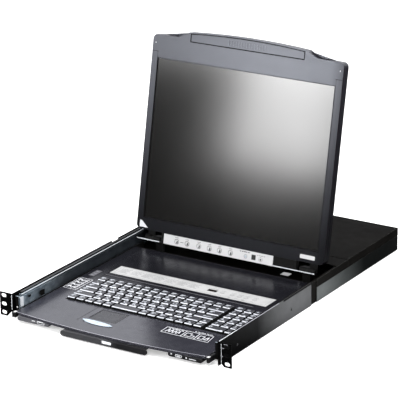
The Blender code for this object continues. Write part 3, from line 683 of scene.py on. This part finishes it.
# A key's material slots (a painted highlight on the front rim, painted shade on the skirt), how far its
# skirt starts below the top, and the rim's distance from its middle
RIM, SKIRT = 1, 2
SKIRT_DEPTH = 0.98
RIM_DEPTH = 5
ARROWS = {">": 0, "^": 90, "<": 180, "v": 270}


def key(bm, u, v, low):
    """Sculpted keycap: sloping skirt, rounded rim and a dished top."""
    u = (u[0] + KEY_GAP, u[1] - KEY_GAP)
    v = (v[0] + KEY_GAP, v[1] - KEY_GAP)
    rings = [rounded_ring(u, v, 0.9, low)]
    for inset, depth, radius in KEY_PROFILE:
        ring_v = (v[0] + inset * 0.8, v[1] - inset * 0.95)
        rings.append(rounded_ring((u[0] + inset, u[1] - inset), ring_v, radius, KEY_TOP - depth))
    for face in loft(bm, rings):
        middle = face.calc_center_median()
        # Skirt faces take painted shade, front rim faces a painted highlight.
        if middle.z < KEY_TOP - SKIRT_DEPTH:
            face.material_index = SKIRT
        elif middle.z < KEY_TOP and middle.y < (v[0] + v[1]) / 2 - RIM_DEPTH:
            face.material_index = RIM


def legend(bm, mark, u, v):
    """Printed mark at the top left of a key, with a small second one beside a character."""
    left, back = u[0] + 3.6, v[1] - 3.2
    if mark == BAR:
        width = min(u[1] - u[0] - 8.5, 8.5)
        block(bm, (left, left + width), (back - 2.6, back - 0.6), LEGEND_W)
        block(bm, (left, left + width * 0.6), (back - 5.8, back - 4.0), LEGEND_W)
    elif mark in ARROWS:
        middle = Vector(((u[0] + u[1]) / 2 - 1, (v[0] + v[1]) / 2))
        turn = Matrix.Rotation(math.radians(ARROWS[mark]), 2)
        prism(bm, [middle + turn @ Vector(tip) for tip in ((3.2, 0), (-1.6, 2.6), (-1.6, -2.6))], LEGEND_W)
    elif mark != " ":
        glyph(bm, mark, (left + 3.0, back - 7.4), 7.6, LEGEND_W, 1.2)
        block(bm, (u[1] - 7.6, u[1] - 4.4), (v[0] + 4.6, v[0] + 6.6), LEGEND_W)


def cap_piece(name, bm, body, node):
    """Keycaps with a painted highlight on the front rim and painted shade on the skirts."""
    made = piece(name, bm, DECK, body, "key", smooth=30, stands_for=[node])
    for look in ("key_rim_highlight", "gap_and_shade"):
        made.data.materials.append(M[look])


def make_keys():
    caps, marks = bmesh.new(), bmesh.new()
    free = {}
    for row, widths in enumerate(ROW_WIDTHS):
        v = (KEYS_Y + row * PITCH, KEYS_Y + (row + 1) * PITCH)
        runs = ((0.0, widths, LEGENDS[row]), (PAD_START, PAD_WIDTHS[row], PAD_LEGENDS[row]))
        for start, run, text in runs:
            for units, mark in zip(run, text):
                wide = units or FREE_KEYS[row][1]
                u = (KEYS_X + start * PITCH, KEYS_X + (start + wide) * PITCH)
                start += wide
                if units:
                    key(caps, u, v, KEY_LOW)
                    legend(marks, mark, u, v)
                else:
                    free[FREE_KEYS[row][0]] = (u, v)
    cap_piece("keys", caps, "drawer", "keycaps")
    piece("key_legends", marks, DECK, "drawer", "legend")
    for node, (u, v) in free.items():
        one = bmesh.new()
        key(one, u, v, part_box(node)[0].z / MM - DECK_TOP)
        cap_piece(node + "_cap", one, node, node)
    u, v = free["enter_key"]
    right, middle = u[1] - 9, (v[0] + v[1]) / 2
    arrow = bmesh.new()
    block(arrow, (right - 14, right), (middle - 0.5, middle + 0.7), LEGEND_W)
    prism(arrow, [(right - 17, middle), (right - 13, middle + 2.4), (right - 13, middle - 2.4)], LEGEND_W)
    piece("enter_key_mark", arrow, DECK, "enter_key", "legend")


# ---- deck ----
INK = (-0.05, 0.09)
GROOVE = (-0.05, 0.05)
PANEL_INK = (0.15, 0.26)
PORT_BUTTONS = (69.0, 90.0, 105.0, 119.0, 137.0)
PORT_COLUMNS = range(-152, 0, 25)
PORT_LINES = ((256.5, 22), (252.5, 17), (248.5, 21), (244.5, 14), (240.5, 19))
SEGMENTS = {"a": ((0, 1), (1, 1)), "b": ((1, 1), (1, 0.5)), "c": ((1, 0.5), (1, 0)), "d": ((1, 0), (0, 0)),
            "e": ((0, 0), (0, 0.5)), "g": ((0, 0.5), (1, 0.5))}


def make_deck_print():
    """Generic strokes where the deck is printed."""
    bm = bmesh.new()
    path(bm, [(71, 66), (72, 42), (168, 41), (164, 68)], 1.0, INK, closed=True)
    for at, lean in ((112, 1), (139, 2)):
        line(bm, (at, 42), (at - lean, 66), 1.2, INK)
    for at in (78, 85, 92, 99):
        line(bm, (at, 47), (at + 3, 60), 1.5, INK)
        line(bm, (at + 3, 60), (at + 5, 50), 1.3, INK)
    scribble(bm, (76, 108), (61.5, 63.5), INK, 5)
    path(bm, [(116, 47), (116, 60), (126, 60), (126, 53), (134, 53), (134, 47)], 1.3, INK, closed=True)
    outline(bm, (143, 152), (47, 60), 1.3, INK)
    path(bm, [(155, 48), (162, 48), (160, 60)], 1.5, INK, closed=True)
    scribble(bm, (124, 160), (71, 72.4), INK, 6)
    for at in range(134, 171, 12):
        scribble(bm, (-193, -171), (at, at + 2.2), INK, 3)
        block(bm, (-193, -186), (at + 4, at + 8), INK)
        line(bm, (-182, at + 4.5), (-173, at + 8), 1.8, INK)
    outline(bm, (-196, -168), (128, 183), 0.8, INK)
    piece("deck_print", bm, DECK, "drawer", "ink")


def make_deck_lines():
    """Grooves and frames that show as dark lines in the deck."""
    bm = bmesh.new()
    path(bm, [(-165, 208), (-165, 216), (150, 216)], 0.9, GROOVE)
    path(bm, [(-84, 13), (-84, 80), (-12, 80)], 0.8, GROOVE)
    line(bm, (-98, -21.8), (-98, -17), 0.7, GROOVE)
    outline(bm, (-165.5, 172.5), (227, 269.5), 1.0, GROOVE)
    outline(bm, (-190.5, -178.5), (199.5, 228.5), 0.8, GROOVE)
    piece("deck_grooves", bm, DECK, "drawer", "gap_and_shade")
    blocks("deck_rail", DECK, "drawer", "cap", "dark_plastic", ((-164, 152), (217.2, 218.4), (-0.05, 0.35)),
           bevel=0.15)


def make_touchpad():
    low, high = (ROOM.inverted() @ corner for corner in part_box("touchpad"))
    u, v = (low.x + 0.2, high.x - 0.2), (low.y + 0.2, high.y - 0.2)
    top = high.z - DECK_TOP
    bm = bmesh.new()
    plate(bm, u, v, (top - 2.6, top), 1.2, 0.3)
    piece("touchpad_plate", bm, DECK, "drawer", "pad", smooth=40, stands_for=["touchpad"])
    bm = bmesh.new()
    w = (top - 0.05, top + 0.04)
    outline(bm, (u[0] + 1.6, u[1] - 1.6), (v[0] + 1.6, v[1] - 1.6), 0.6, w)
    line(bm, (u[1] - 6, v[0] + 6), (u[1] - 6, v[1] - 6), 0.4, w)
    piece("touchpad_lines", bm, DECK, "drawer", "gap_and_shade")


def seven_segments(bm, at, size, segments, w):
    """Lit bars of one digit of the display."""
    for name in segments:
        start, end = [(at[0] + size[0] * (0.1 + 0.8 * x), at[1] + size[1] * (0.06 + 0.88 * y))
                      for x, y in SEGMENTS[name]]
        line(bm, start, end, size[0] * 0.12, w)


def make_port_panel_print():
    bm = bmesh.new()
    for count, at in enumerate(PORT_BUTTONS):
        scribble(bm, (at - 5, at + 5), (254, 255.2), PANEL_INK, 3)
        ring(bm, (at, 247.0), 4.2, 3.6, PANEL_INK)
        line(bm, (at - 3, 236), (at + 3, 236), 0.7, PANEL_INK)
        if count % 2:
            line(bm, (at, 234), (at, 238), 0.7, PANEL_INK)
    scribble(bm, (40, 57), (256.4, 257.4), PANEL_INK, 4)
    for start in PORT_COLUMNS:
        for low, reach in PORT_LINES:
            scribble(bm, (start, start + reach), (low, low + 1.2), PANEL_INK, 6)
    outline(bm, (-158, 165), (233.5, 263), 0.35, PANEL_INK)
    piece("port_panel_print", bm, DECK, "drawer", "panel_ink")
    for index, segments in enumerate(("bc", "abged")):
        digit = bmesh.new()
        seven_segments(digit, (41.5 + index * 7.5, 244.6), (5.4, 6.8), segments, (-0.05, 0.06))
        piece(f"display_digit_{index + 1}", digit, DECK, "drawer", "lamp_red")


# ---- screen ----
OSD_X = (-111, -88, -62, -39, -17, 7)
OSD_H = 5.4
LAMP_AT = (40, 4.6)
STICKER = ((-196, 20), (-177, 20), (-192, 33), (-196, 33))
# Half width, bottom and top of the panel's opening in the bezel
VIEW = (188.15, 40.4, 341.5)
GRIP_HALF = 121
GRIP_LOW = 380.3
GRIP_RIBS = 15


def front_of(node):
    """How far a screen node stands out of the hinge plane, in millimetres."""
    inverse = SCREEN.inverted()
    return max((inverse @ vertex.co).z for vertex in frame["nodes"][node].data.vertices)


def make_osd():
    """Buttons with a rim and a hollow, each on its own body, with a painted shadow on the right of the
    hollow.
    """
    top = front_of("osd_button_1")
    profile = ((3.7, CHIN_F - 3.4), (3.7, top - 0.5), (3.3, top - 0.1), (2.6, top), (2.3, top - 0.15))
    for index, at in enumerate(OSD_X):
        bm = bmesh.new()
        loft(bm, [circle((at, OSD_H), r, w, 28) for r, w in profile])
        name = f"osd_button_{index + 1}"
        piece(name + "_cap", bm, SCREEN, name, "silver", smooth=35, stands_for=[name])
        # Dark crescent on the right of the cap: a painted shadow.
        mark = bmesh.new()
        prism(mark, [(at + 2.9 * math.cos(math.radians(a)), OSD_H - 0.3 + 2.9 * math.sin(math.radians(a)))
                     for a in range(-100, 71, 17)], (top - 0.25, top + 0.02))
        piece(name + "_mark", mark, SCREEN, name, "dark_ink_and_shadow")


def make_control_print():
    """Marks, window and lamp of the control strip, and the bright trim beside it."""
    bm = bmesh.new()
    face = front_of("control_strip")
    w = (face - 0.1, face + 0.12)
    for at in OSD_X:
        ring(bm, (at, OSD_H), 4.9, 4.35, w)
        scribble(bm, (at - 3.5, at + 3.5), (12.2, 13.2), w, 3)
    scribble(bm, (27, 49), (12.0, 13.6), w, 5)
    block(bm, (-103, -96), (5.0, 5.9), w)
    ring(bm, LAMP_AT, 3.6, 3.1, w)
    ring(bm, (72, 4.4), 4.0, 3.6, w)
    disc(bm, (72, 4.0), 1.7, w)
    scribble(bm, (64, 82), (10.6, 11.4), w, 5)
    piece("control_print", bm, SCREEN, "screen", "dark_ink_and_shadow")
    trim_w = (face - 1.2, face + 0.05)
    blocks("chin_trim", SCREEN, "screen", "bright_zinc_and_highlight", "silver_plastic",
           ((98.5, 186), (-3.0, -1.3), trim_w), ((-200, -150), (-3.0, -1.3), trim_w), bevel=0.2)
    blocks("sensor_window", SCREEN, "screen", "black", "black_plastic",
           ((52.5, 61.5), (1.0, 10.6), (face - 0.1, face + 0.3)), bevel=0.2)
    lamp = bmesh.new()
    disc(lamp, LAMP_AT, 2.4, (face - 0.1, face + 0.35), top=1.8)
    piece("status_lamp", lamp, SCREEN, "screen", "ice", smooth=35)


def make_bezel_trim():
    """Seams, stickers and the blank badge on the bezel."""
    seams = bmesh.new()
    w = (BEZEL_F - 0.15, BEZEL_F + 0.05)
    for side in (-1, 1):
        line(seams, (side * 189.2, 354), (side * 202.6, 354), 0.9, w)
        line(seams, (side * 190.2, 354), (side * 190.2, 26), 0.5, w)
    half, low, high = VIEW[0] + 0.8, VIEW[1] - 0.8, VIEW[2] + 0.8
    line(seams, (-half - 0.1, high), (-half - 0.1, low), 2.0, (w[0], w[1] + 0.02))
    outline(seams, (-half, half), (low, high), 0.7, w)
    piece("bezel_seams", seams, SCREEN, "screen", "gap_and_shade")
    sticker = bmesh.new()
    prism(sticker, STICKER, (BEZEL_F - 0.1, BEZEL_F + 0.12))
    piece("corner_sticker", sticker, SCREEN, "screen", "ink")
    badge = bmesh.new()
    plate(badge, (153, 184), (22.5, 30), (BEZEL_F - 0.1, BEZEL_F + 0.35), 1.5, 0.2)
    piece("blank_badge", badge, SCREEN, "screen", "white", smooth=35)
    marks = bmesh.new()
    for side in (-1, 1):
        tips = [(side * 197, 371), (side * 195, 369.8), (side * 197, 368.6)]
        prism(marks, tips, (BEZEL_F - 0.1, BEZEL_F + 0.1))
    piece("corner_marks", marks, SCREEN, "screen", "ink")


def make_grip_trim():
    """Dark outline round the bowed finger grip, and its ribs."""
    bm = bmesh.new()
    steps = 24
    across_grip = [GRIP_HALF * (2 * i / steps - 1) for i in range(steps + 1)]
    around = [(u, 394.7 + 4.9 * (1 - (u / GRIP_HALF) ** 2)) for u in across_grip]
    around += [(GRIP_HALF, GRIP_LOW), (-GRIP_HALF, GRIP_LOW)]
    path(bm, around, 1.7, (BEZEL_F - 0.6, BEZEL_F + 0.03), closed=True)
    piece("grip_outline", bm, SCREEN, "screen", "gap_and_shade")
    ribs = bmesh.new()
    for i in range(GRIP_RIBS):
        at = -39 + 78 * i / (GRIP_RIBS - 1)
        plate(ribs, (at - 1.3, at + 1.3), (384.0, 394.5), (4.0, BEZEL_F - 0.05), 1.2, 0.5)
    piece("grip_ribs", ribs, SCREEN, "screen", "bezel", smooth=40)


# ---- front edge ----
CAP_FRONT = 15.5
CAP_MARKS = (((-161, -154), (9.2, 10.4)), ((167, 181), (7.4, 8.6)), ((130, 132.6), (8.6, 11.0)),
             ((160, 162.4), (7.0, 10.0)), ((142, 149), (7.8, 9.0)))
WALL_TOP = 41.5 - DECK_TOP
LEG_TOP = 43.9 - DECK_TOP
SLIDE_TOP = 39.0 - DECK_TOP
PRINT_OUT = (-204.95, -204.74)
TAB_PRINT = (-7.0, -6.8)
EAR_HIGHLIGHT_W = (-0.3, 0.06)
EAR_BEND = (-0.6, 0.06)


def make_front_trim():
    """Marks on the front caps and the tops of the release catches."""
    w = (CAP_FRONT - 0.2, CAP_FRONT + 0.1)
    bm = bmesh.new()
    for u, v in CAP_MARKS:
        block(bm, u, v, w)
    outline(bm, (139.5, 151.5), (6.4, 10.6), 1.0, w)
    outline(bm, (-149, -134.5), (6.6, 11.4), 0.9, w)
    block(bm, (-147, -137), (9.3, 10.6), (w[0] - 3, w[1] - 0.3))
    piece("front_marks", bm, FRONT, "drawer", "ink")
    for side, name in SIDES:
        top = bmesh.new()
        plate(top, across(side, 199.0, 204.0), (-11.8, -5.4), (-1.15, -1.05), 0.6, 0.04)
        piece(f"catch_top_{name}", top, DECK, f"catch_{name}", "white", smooth=35)


def make_rails():
    """Rolled lips and end plates of the slides, with the label on the pan; the lips carry painted light, a
    highlight on the left and shade on the right.
    """
    for side, name in SIDES:
        # Painted light: the left lip light zinc as a highlight, the right lip black as shade.
        look = "bright_zinc_and_highlight" if name == "left" else "powder"
        blocks(f"slide_lip_{name}", DECK, "chassis", look, "zinc",
               (across(side, 206.3, 207.3), (18.5, 429), (SLIDE_TOP - 1.0, SLIDE_TOP + 0.2)), bevel=0.3)
        end = bmesh.new()
        plate(end, (11.5, 21.5), (16.8, 35.2), across(side, 204.72, 205.1), 1.0)
        piece(f"slide_end_{name}", end, RIGHT, "drawer", "bright_zinc_and_highlight")
    blocks("slide_slots_left", RIGHT, "drawer", "gap_and_shade", "black_steel",
           ((71, 84), (17.5, 27.5), PRINT_OUT), ((35.5, 43), (27, 31), PRINT_OUT))
    label = bmesh.new()
    plate(label, (110, 127), (381, 395), (-1.55, -1.35), 0.8)
    piece("pan_label", label, DECK, "drawer", "white")


def make_side_trim():
    """Covers; painted highlights on the ear bends, ear slots and right leg's edge; painted shade on the
    right leg and left slide; a painted lighter wall top; and the deck's lock window.
    """
    for side, name in SIDES:
        blocks(f"tab_cover_{name}", FRONT, "drawer", "gap_and_shade", "black_steel",
               (across(side, 205.0, 212.0), (8.2, 38.2), (-7.25, -6.9)))
    marks = bmesh.new()
    disc(marks, (-208.4, 18.4), 1.5, TAB_PRINT)
    block(marks, (-207.0, -205.2), (9.0, 12.5), TAB_PRINT)
    piece("tab_marks_left", marks, FRONT, "drawer", "white")
    # Painted highlights on the ear bends.
    blocks("ear_bend_highlights", FRONT, "chassis", "bright_zinc_and_highlight", "black_steel",
           ((-215.6, -214.7), (14, 42), EAR_BEND), ((221.0, 221.7), (5, 42), EAR_BEND))
    # Painted highlights in the slots of the right ear.
    marks = bmesh.new()
    block(marks, (226.5, 234), (41.2, 42.2), EAR_HIGHLIGHT_W)
    block(marks, (223.0, 227.0), (33.6, 34.6), EAR_HIGHLIGHT_W)
    disc(marks, (223.8, 19.1), 0.9, EAR_HIGHLIGHT_W, 12)
    piece("ear_highlights_right", marks, FRONT, "chassis", "grey_ink_and_highlight")
    # Painted highlights along the right leg's top edge, brighter at the front.
    for name, v, look in (("front", (3, 60), "bright_zinc_and_highlight"), ("middle", (60, 200), "edge")):
        blocks(f"leg_edge_highlight_{name}", DECK, "chassis", look, "black_steel",
               ((214.9, 215.7), v, (LEG_TOP - 0.6, LEG_TOP + 0.03)))
    # Painted shadow on the top strip of the right leg's outer face.
    blocks("leg_shadow_right", RIGHT, "chassis", "gap_and_shade", "black_steel",
           ((215, 312), (40.6, 43.94), (215.4, 215.68)))
    # Painted light: a lighter band on top of the left wall.
    blocks("wall_top_left", DECK, "chassis", "wall", "black_steel",
           ((-213.6, -209.0), (23, 430), (WALL_TOP - 0.3, WALL_TOP + 0.06)))
    # Painted shadow along the top of the left slide, under the wall's flange.
    blocks("slide_shadow_left", DECK, "chassis", "gap_and_shade", "zinc",
           ((-211.9, -209.2), (19.5, 428), (SLIDE_TOP - 0.3, SLIDE_TOP + 0.05)))
    blocks("lock_window", DECK, "drawer", "cap", "black_plastic",
           ((-190.6, -178.4), (199.4, 228.6), (-0.6, 0.06)), bevel=0.1)
    blocks("lock_marks", DECK, "drawer", "grey_ink_and_highlight", "white_plastic",
           *(((-187.5, -181.5), (at, at + 2.0), (-0.1, 0.12)) for at in (203, 212, 221)))


# Ends of the lens-shaped button pair on the deck, and how far its edges bow
TOUCH_TIPS = (Vector((-77.0, 20.6)), Vector((-11.0, 16.6)))
TOUCH_BOW = 9.8
TOUCH_BACK_BOW = 5.0
TOUCH_BLUNT = 0.7
TOUCH_RANGES = {"left": (0.015, 0.504), "right": (0.516, 0.985)}
TOUCH_LIFT = 0.64
# Inset and height of each ring above the lifted underside
TOUCH_PROFILE = ((0.2, 0.0), (0.0, 0.1), (0.25, 0.4), (0.9, 0.5))
TOUCH_STEMS = {"left": (-70.0, -44.6), "right": (-41.4, -20.0)}


def make_touch_buttons():
    """Lens-shaped pair on stems, clear of the deck by a little more than their travel."""
    steps = 14
    for name, (start, end) in TOUCH_RANGES.items():
        rings = []
        for inset, height in TOUCH_PROFILE:
            near, far = [], []
            for step in range(steps + 1):
                t = start + (end - start) * step / steps
                x, y = TOUCH_TIPS[0].lerp(TOUCH_TIPS[1], t)
                bow = (4 * t * (1 - t)) ** TOUCH_BLUNT
                near.append((x, y - TOUCH_BOW * bow + min(inset, 2 * bow), TOUCH_LIFT + height))
                far.append((x, y + TOUCH_BACK_BOW * bow - min(inset, 1.5 * bow), TOUCH_LIFT + height))
            rings.append(near + far[::-1])
        bm = bmesh.new()
        loft(bm, rings)
        block(bm, TOUCH_STEMS[name], (16.6, 21.0), (-3.0, TOUCH_LIFT + 0.2))
        piece(f"touch_cap_{name}", bm, DECK, f"touch_{name}", "ice", smooth=40,
              stands_for=[f"touch_button_{name}"])


def make_deck_edge():
    """Painted highlight: a bright line where the deck turns down to its front lip."""
    bm = bmesh.new()
    steps = 40
    spots = [-196 + 392 * i / steps for i in range(steps + 1)]
    edge = [(x, -25 + 14 * (x / 198) ** 2) for x in spots]
    prism(bm, [(x, y + 0.25) for x, y in edge] + [(x, y + 1.5) for x, y in reversed(edge)], (-0.6, 0.04))
    piece("deck_front_highlight", bm, DECK, "drawer", "edge")


# ---- rear and back ----
KVM_X = tuple(-44.0 + 33.0 * index for index in range(8))
CONSOLE_VIDEO_X = -118.0
PORT_Z = 14.0
# Growth of the socket's outline and height of each ring
SHELL_LEVELS = ((0.0, -3.0), (0.0, 6.0), (-0.2, 6.18), (-0.7, 6.18), (-0.9, 6.0), (-0.9, 3.0))
INSERT_LEVELS = ((-0.9, 2.9), (-0.9, 4.9), (-1.1, 5.1))
STANDOFF_LEVELS = ((2.5, -0.1), (2.5, 3.6), (2.2, 4.0), (1.2, 4.0), (1.1, 3.2))
REAR_INK = (-0.05, 0.08)
RIM_W = (-0.1, 0.9)
BACK_W = -9.8


def d_outline(x, grow):
    """Outline of a D-shaped socket in the rear view, where u runs towards -X."""
    half, high, slant, nick = 9.0 + grow, 4.8 + grow, 1.6, 1.4
    foot = half - slant
    right = [(half - nick, high), (half, high - nick), (foot, nick - high), (foot - nick, -high)]
    left = [(-u, v) for u, v in right]
    return [(u - x, v + PORT_Z) for u, v in left + right[::-1]]


def d_socket(shells, name, x, look):
    """Metal shell with a plug face set back in it, three rows of pin holes and two standoffs."""
    insert, holes, metal = bmesh.new(), bmesh.new(), bmesh.new()
    for bm, levels in ((shells, SHELL_LEVELS), (insert, INSERT_LEVELS)):
        loft(bm, [[(*p, w) for p in d_outline(x, grow)] for grow, w in levels])
    for row in range(3):
        for place in range(5):
            at = (-x + (place - 2) * 2.3 + (0.6 if row == 1 else 0), PORT_Z + (row - 1) * 2.0)
            disc(holes, at, 0.5, (5.0, 5.15), 8)
    for side in (-1, 1):
        loft(metal, [circle((-x + side * 12.5, PORT_Z), r, w, 6) for r, w in STANDOFF_LEVELS])
    piece(name + "_insert", insert, REAR, "chassis", look)
    piece(name + "_pin_holes", holes, REAR, "chassis", "brass")
    piece(name + "_standoffs", metal, REAR, "chassis", "steel")


def make_sockets():
    """Video sockets, double USB socket and mains inlet."""
    shells = bmesh.new()
    for index, x in enumerate(KVM_X):
        d_socket(shells, f"kvm_{index + 1}", x, "black")
    piece("kvm_shells", shells, REAR, "chassis", "steel", smooth=30, stands_for=["kvm_ports"])
    shells = bmesh.new()
    d_socket(shells, "console_video", CONSOLE_VIDEO_X, "blue")
    for u in ((84.1, 85.1), (97.9, 98.9)):
        block(shells, u, (8.1, 24.5), (-8.0, 2.15))
    for v in ((8.1, 9.4), (14.8, 17.6), (23.0, 24.5)):
        block(shells, (85.0, 98.0), v, (-8.0, 2.15))
    piece("console_shells", shells, REAR, "chassis", "steel", stands_for=["console_ports"])
    blocks("usb_tongues", REAR, "chassis", "white", "white_plastic",
           *(((86.6, 96.4), (low + 2.0, low + 3.6), (-5, 1.4)) for low in (9.4, 17.6)), bevel=0.1)
    blocks("inlet_pins", REAR, "chassis", "steel", "bright_steel",
           *(((u - 1, u + 1), (z - 2, z + 2), (-11, 0.4)) for u, z in ((190.5, 24), (185, 18), (196, 18))),
           bevel=0.3)
    rim = bmesh.new()
    outline(rim, (175.2, 205.8), (8.2, 33.8), 0.9, RIM_W)
    outline(rim, (150.2, 165.8), (8.8, 33.2), 0.9, RIM_W)
    piece("inlet_rims", rim, REAR, "chassis", "cap", bevel=0.15)


def make_rear_panel():
    """Numbers and frames round the sockets, vents and screws."""
    ink = bmesh.new()
    for index, x in enumerate(KVM_X):
        glyph(ink, str(index + 1), (-x, 24.0), 4.2, REAR_INK, 0.5)
        outline(ink, (-x - 15.5, -x + 15.5), (6.0, 22.4), 0.35, REAR_INK)
    scribble(ink, (106, 128), (22.5, 23.7), REAR_INK, 5)
    scribble(ink, (84, 99), (27.2, 28.4), REAR_INK, 4)
    piece("rear_print", ink, REAR, "chassis", "ink")
    blocks("rear_vents", REAR, "chassis", "gap_and_shade", "black_steel",
           *(((u, u + 3.4), (30.5, 34.5), (-0.4, 0.05)) for u in range(-200, 32, 7)))
    screws = bmesh.new()
    for u in (-206, -150, -40, 76, 140, 208):
        screw(screws, (u, 37.0), 0.0, 2.4)
    piece("rear_screws", screws, REAR, "chassis", "steel", smooth=30)


def make_back_cover_trim():
    """Grooves and screws on the back of the screen."""
    grooves, heads = bmesh.new(), bmesh.new()
    w = (BACK_W - 0.05, BACK_W + 0.4)
    outline(grooves, (-188, 188), (34, 366), 0.9, w)
    for h in range(60, 100, 6):
        line(grooves, (-60, h), (60, h), 2.0, w)
    piece("back_grooves", grooves, SCREEN, "screen", "gap_and_shade")
    levels = ((2.6, BACK_W + 0.4), (2.6, BACK_W - 0.04), (2.2, BACK_W - 0.08))
    for u in (-194.5, 194.5):
        for h in (30, 150, 260, 372):
            loft(heads, [circle((u, h), r, z, 20) for r, z in levels])
    piece("back_screws", heads, SCREEN, "screen", "steel", smooth=30)


def make_side_screws():
    for name, face, sign in (("right", RIGHT, 1), ("left", LEFT, -1)):
        bm = bmesh.new()
        for at in (60, 243):
            screw(bm, (sign * at, 17), SIDE_X - 0.35, 2.6)
        piece(f"side_screws_{name}", bm, face, "chassis", "powder", smooth=35)


# ---- stage ----
def set_up(name, bm, material):
    """Studio object that isn't part of the console."""
    mesh = bpy.data.meshes.new(name)
    bm.to_mesh(mesh)
    bm.free()
    mesh.materials.append(material)
    made = add_object(name, mesh)
    return made


def make_floor():
    """White floor: bright to the camera, dark to gloss except for a pool of light."""
    f = Finish()
    base = f.mix(f.patches(1.5, 2.0), (0.86, 0.86, 0.86), (0.88, 0.88, 0.88))
    seen_in_gloss = f.nodes.new("ShaderNodeLightPath").outputs["Is Glossy Ray"]
    near = f.nodes.new("ShaderNodeVectorMath")
    near.operation = "DISTANCE"
    near.inputs[1].default_value = POOL_AT
    f.links.new(f.coords, near.inputs[0])
    in_pool = f.spread(near.outputs["Value"], *POOL_EDGE, 1.0, 0.0)
    pool = f.mix(in_pool, (0.04, 0.04, 0.042), (0.9, 0.92, 0.93))
    f.feed(f.mix(seen_in_gloss, base, pool))
    f.set(Roughness=0.9)
    f.set(Specular_IOR_Level=0.1)
    f.set(Emission_Color=(1, 1, 1, 1))
    seen_directly = f.nodes.new("ShaderNodeLightPath").outputs["Is Camera Ray"]
    f.feed(f.multiply(seen_directly, f.value(FLOOR_GLOW)), "Emission Strength")
    bm = bmesh.new()
    bmesh.ops.create_grid(bm, x_segments=8, y_segments=8, size=14)
    floor = set_up("floor", bm, f.material)
    floor.location.z = CAD_BOUNDS[0].z - 0.0005


def make_flag():
    """Black card behind the left corner, seen only in reflections, as a studio flag."""
    bm = bmesh.new()
    block(bm, (-700, -204), (396, 398), (40, 112))
    bmesh.ops.transform(bm, matrix=ROOM, verts=bm.verts)
    flag = set_up("flag", bm, M["gap_and_shade"])
    for name in ("visible_camera", "visible_diffuse", "visible_shadow", "visible_transmission"):
        setattr(flag, name, False)


def softbox(name, at, aim, size, power):
    data = bpy.data.lights.new(name, "AREA")
    data.shape = "RECTANGLE"
    data.size, data.size_y = size
    data.energy = power
    lamp = add_object(name, data)
    lamp.location = at
    lamp.rotation_euler = (Vector(aim) - Vector(at)).to_track_quat("-Z", "Y").to_euler()
    lamp.visible_camera = False


def make_light():
    scene = bpy.context.scene
    scene.view_settings.view_transform = "Standard"
    world = bpy.data.worlds.new("studio")
    world.use_nodes = True
    nodes, links = world.node_tree.nodes, world.node_tree.links
    background = nodes["Background"]
    direction = nodes.new("ShaderNodeTexCoord").outputs["Generated"]
    split = nodes.new("ShaderNodeSeparateXYZ")
    links.new(direction, split.inputs[0])
    ramp = nodes.new("ShaderNodeMapRange")
    ramp.interpolation_type = "SMOOTHSTEP"
    limits = {"From Min": -0.1, "From Max": 0.6, "To Min": WORLD_FRONT, "To Max": WORLD_BACK}
    for name, number in limits.items():
        ramp.inputs[name].default_value = number
    links.new(split.outputs["Y"], ramp.inputs["Value"])
    links.new(ramp.outputs["Result"], background.inputs["Strength"])
    background.inputs["Color"].default_value = (0.95, 0.96, 1.0, 1)
    scene.world = world
    for settings in SOFTBOXES:
        softbox(*settings)


def make_camera():
    data = bpy.data.cameras.new("camera")
    data.lens = CAMERA_LENS
    data.sensor_width = 36
    data.shift_x, data.shift_y = CAMERA_SHIFT
    data.clip_end = 100
    camera = add_object("camera", data)
    level = math.cos(CAMERA_ELEVATION)
    back = Vector((math.sin(CAMERA_AZIMUTH) * level, -math.cos(CAMERA_AZIMUTH) * level,
                   math.sin(CAMERA_ELEVATION)))
    right = Vector((0, 0, 1)).cross(back).normalized()
    up = back.cross(right)
    turned_right = right * math.cos(CAMERA_ROLL) + up * math.sin(CAMERA_ROLL)
    turned_up = up * math.cos(CAMERA_ROLL) - right * math.sin(CAMERA_ROLL)
    rotation = Matrix((turned_right, turned_up, back)).transposed().to_4x4()
    camera.matrix_world = Matrix.Translation(CAMERA_AT) @ rotation
    bpy.context.scene.camera = camera


dress_cad()
make_keys()
make_deck_print()
make_deck_lines()
make_touchpad()
make_port_panel_print()
make_osd()
make_control_print()
make_bezel_trim()
make_grip_trim()
make_front_trim()
make_rails()
make_side_trim()
make_touch_buttons()
make_deck_edge()
make_sockets()
make_rear_panel()
make_back_cover_trim()
make_side_screws()
for made in GLYPHS.values():
    bpy.data.meshes.remove(made)
make_floor()
make_flag()
make_light()
make_camera()
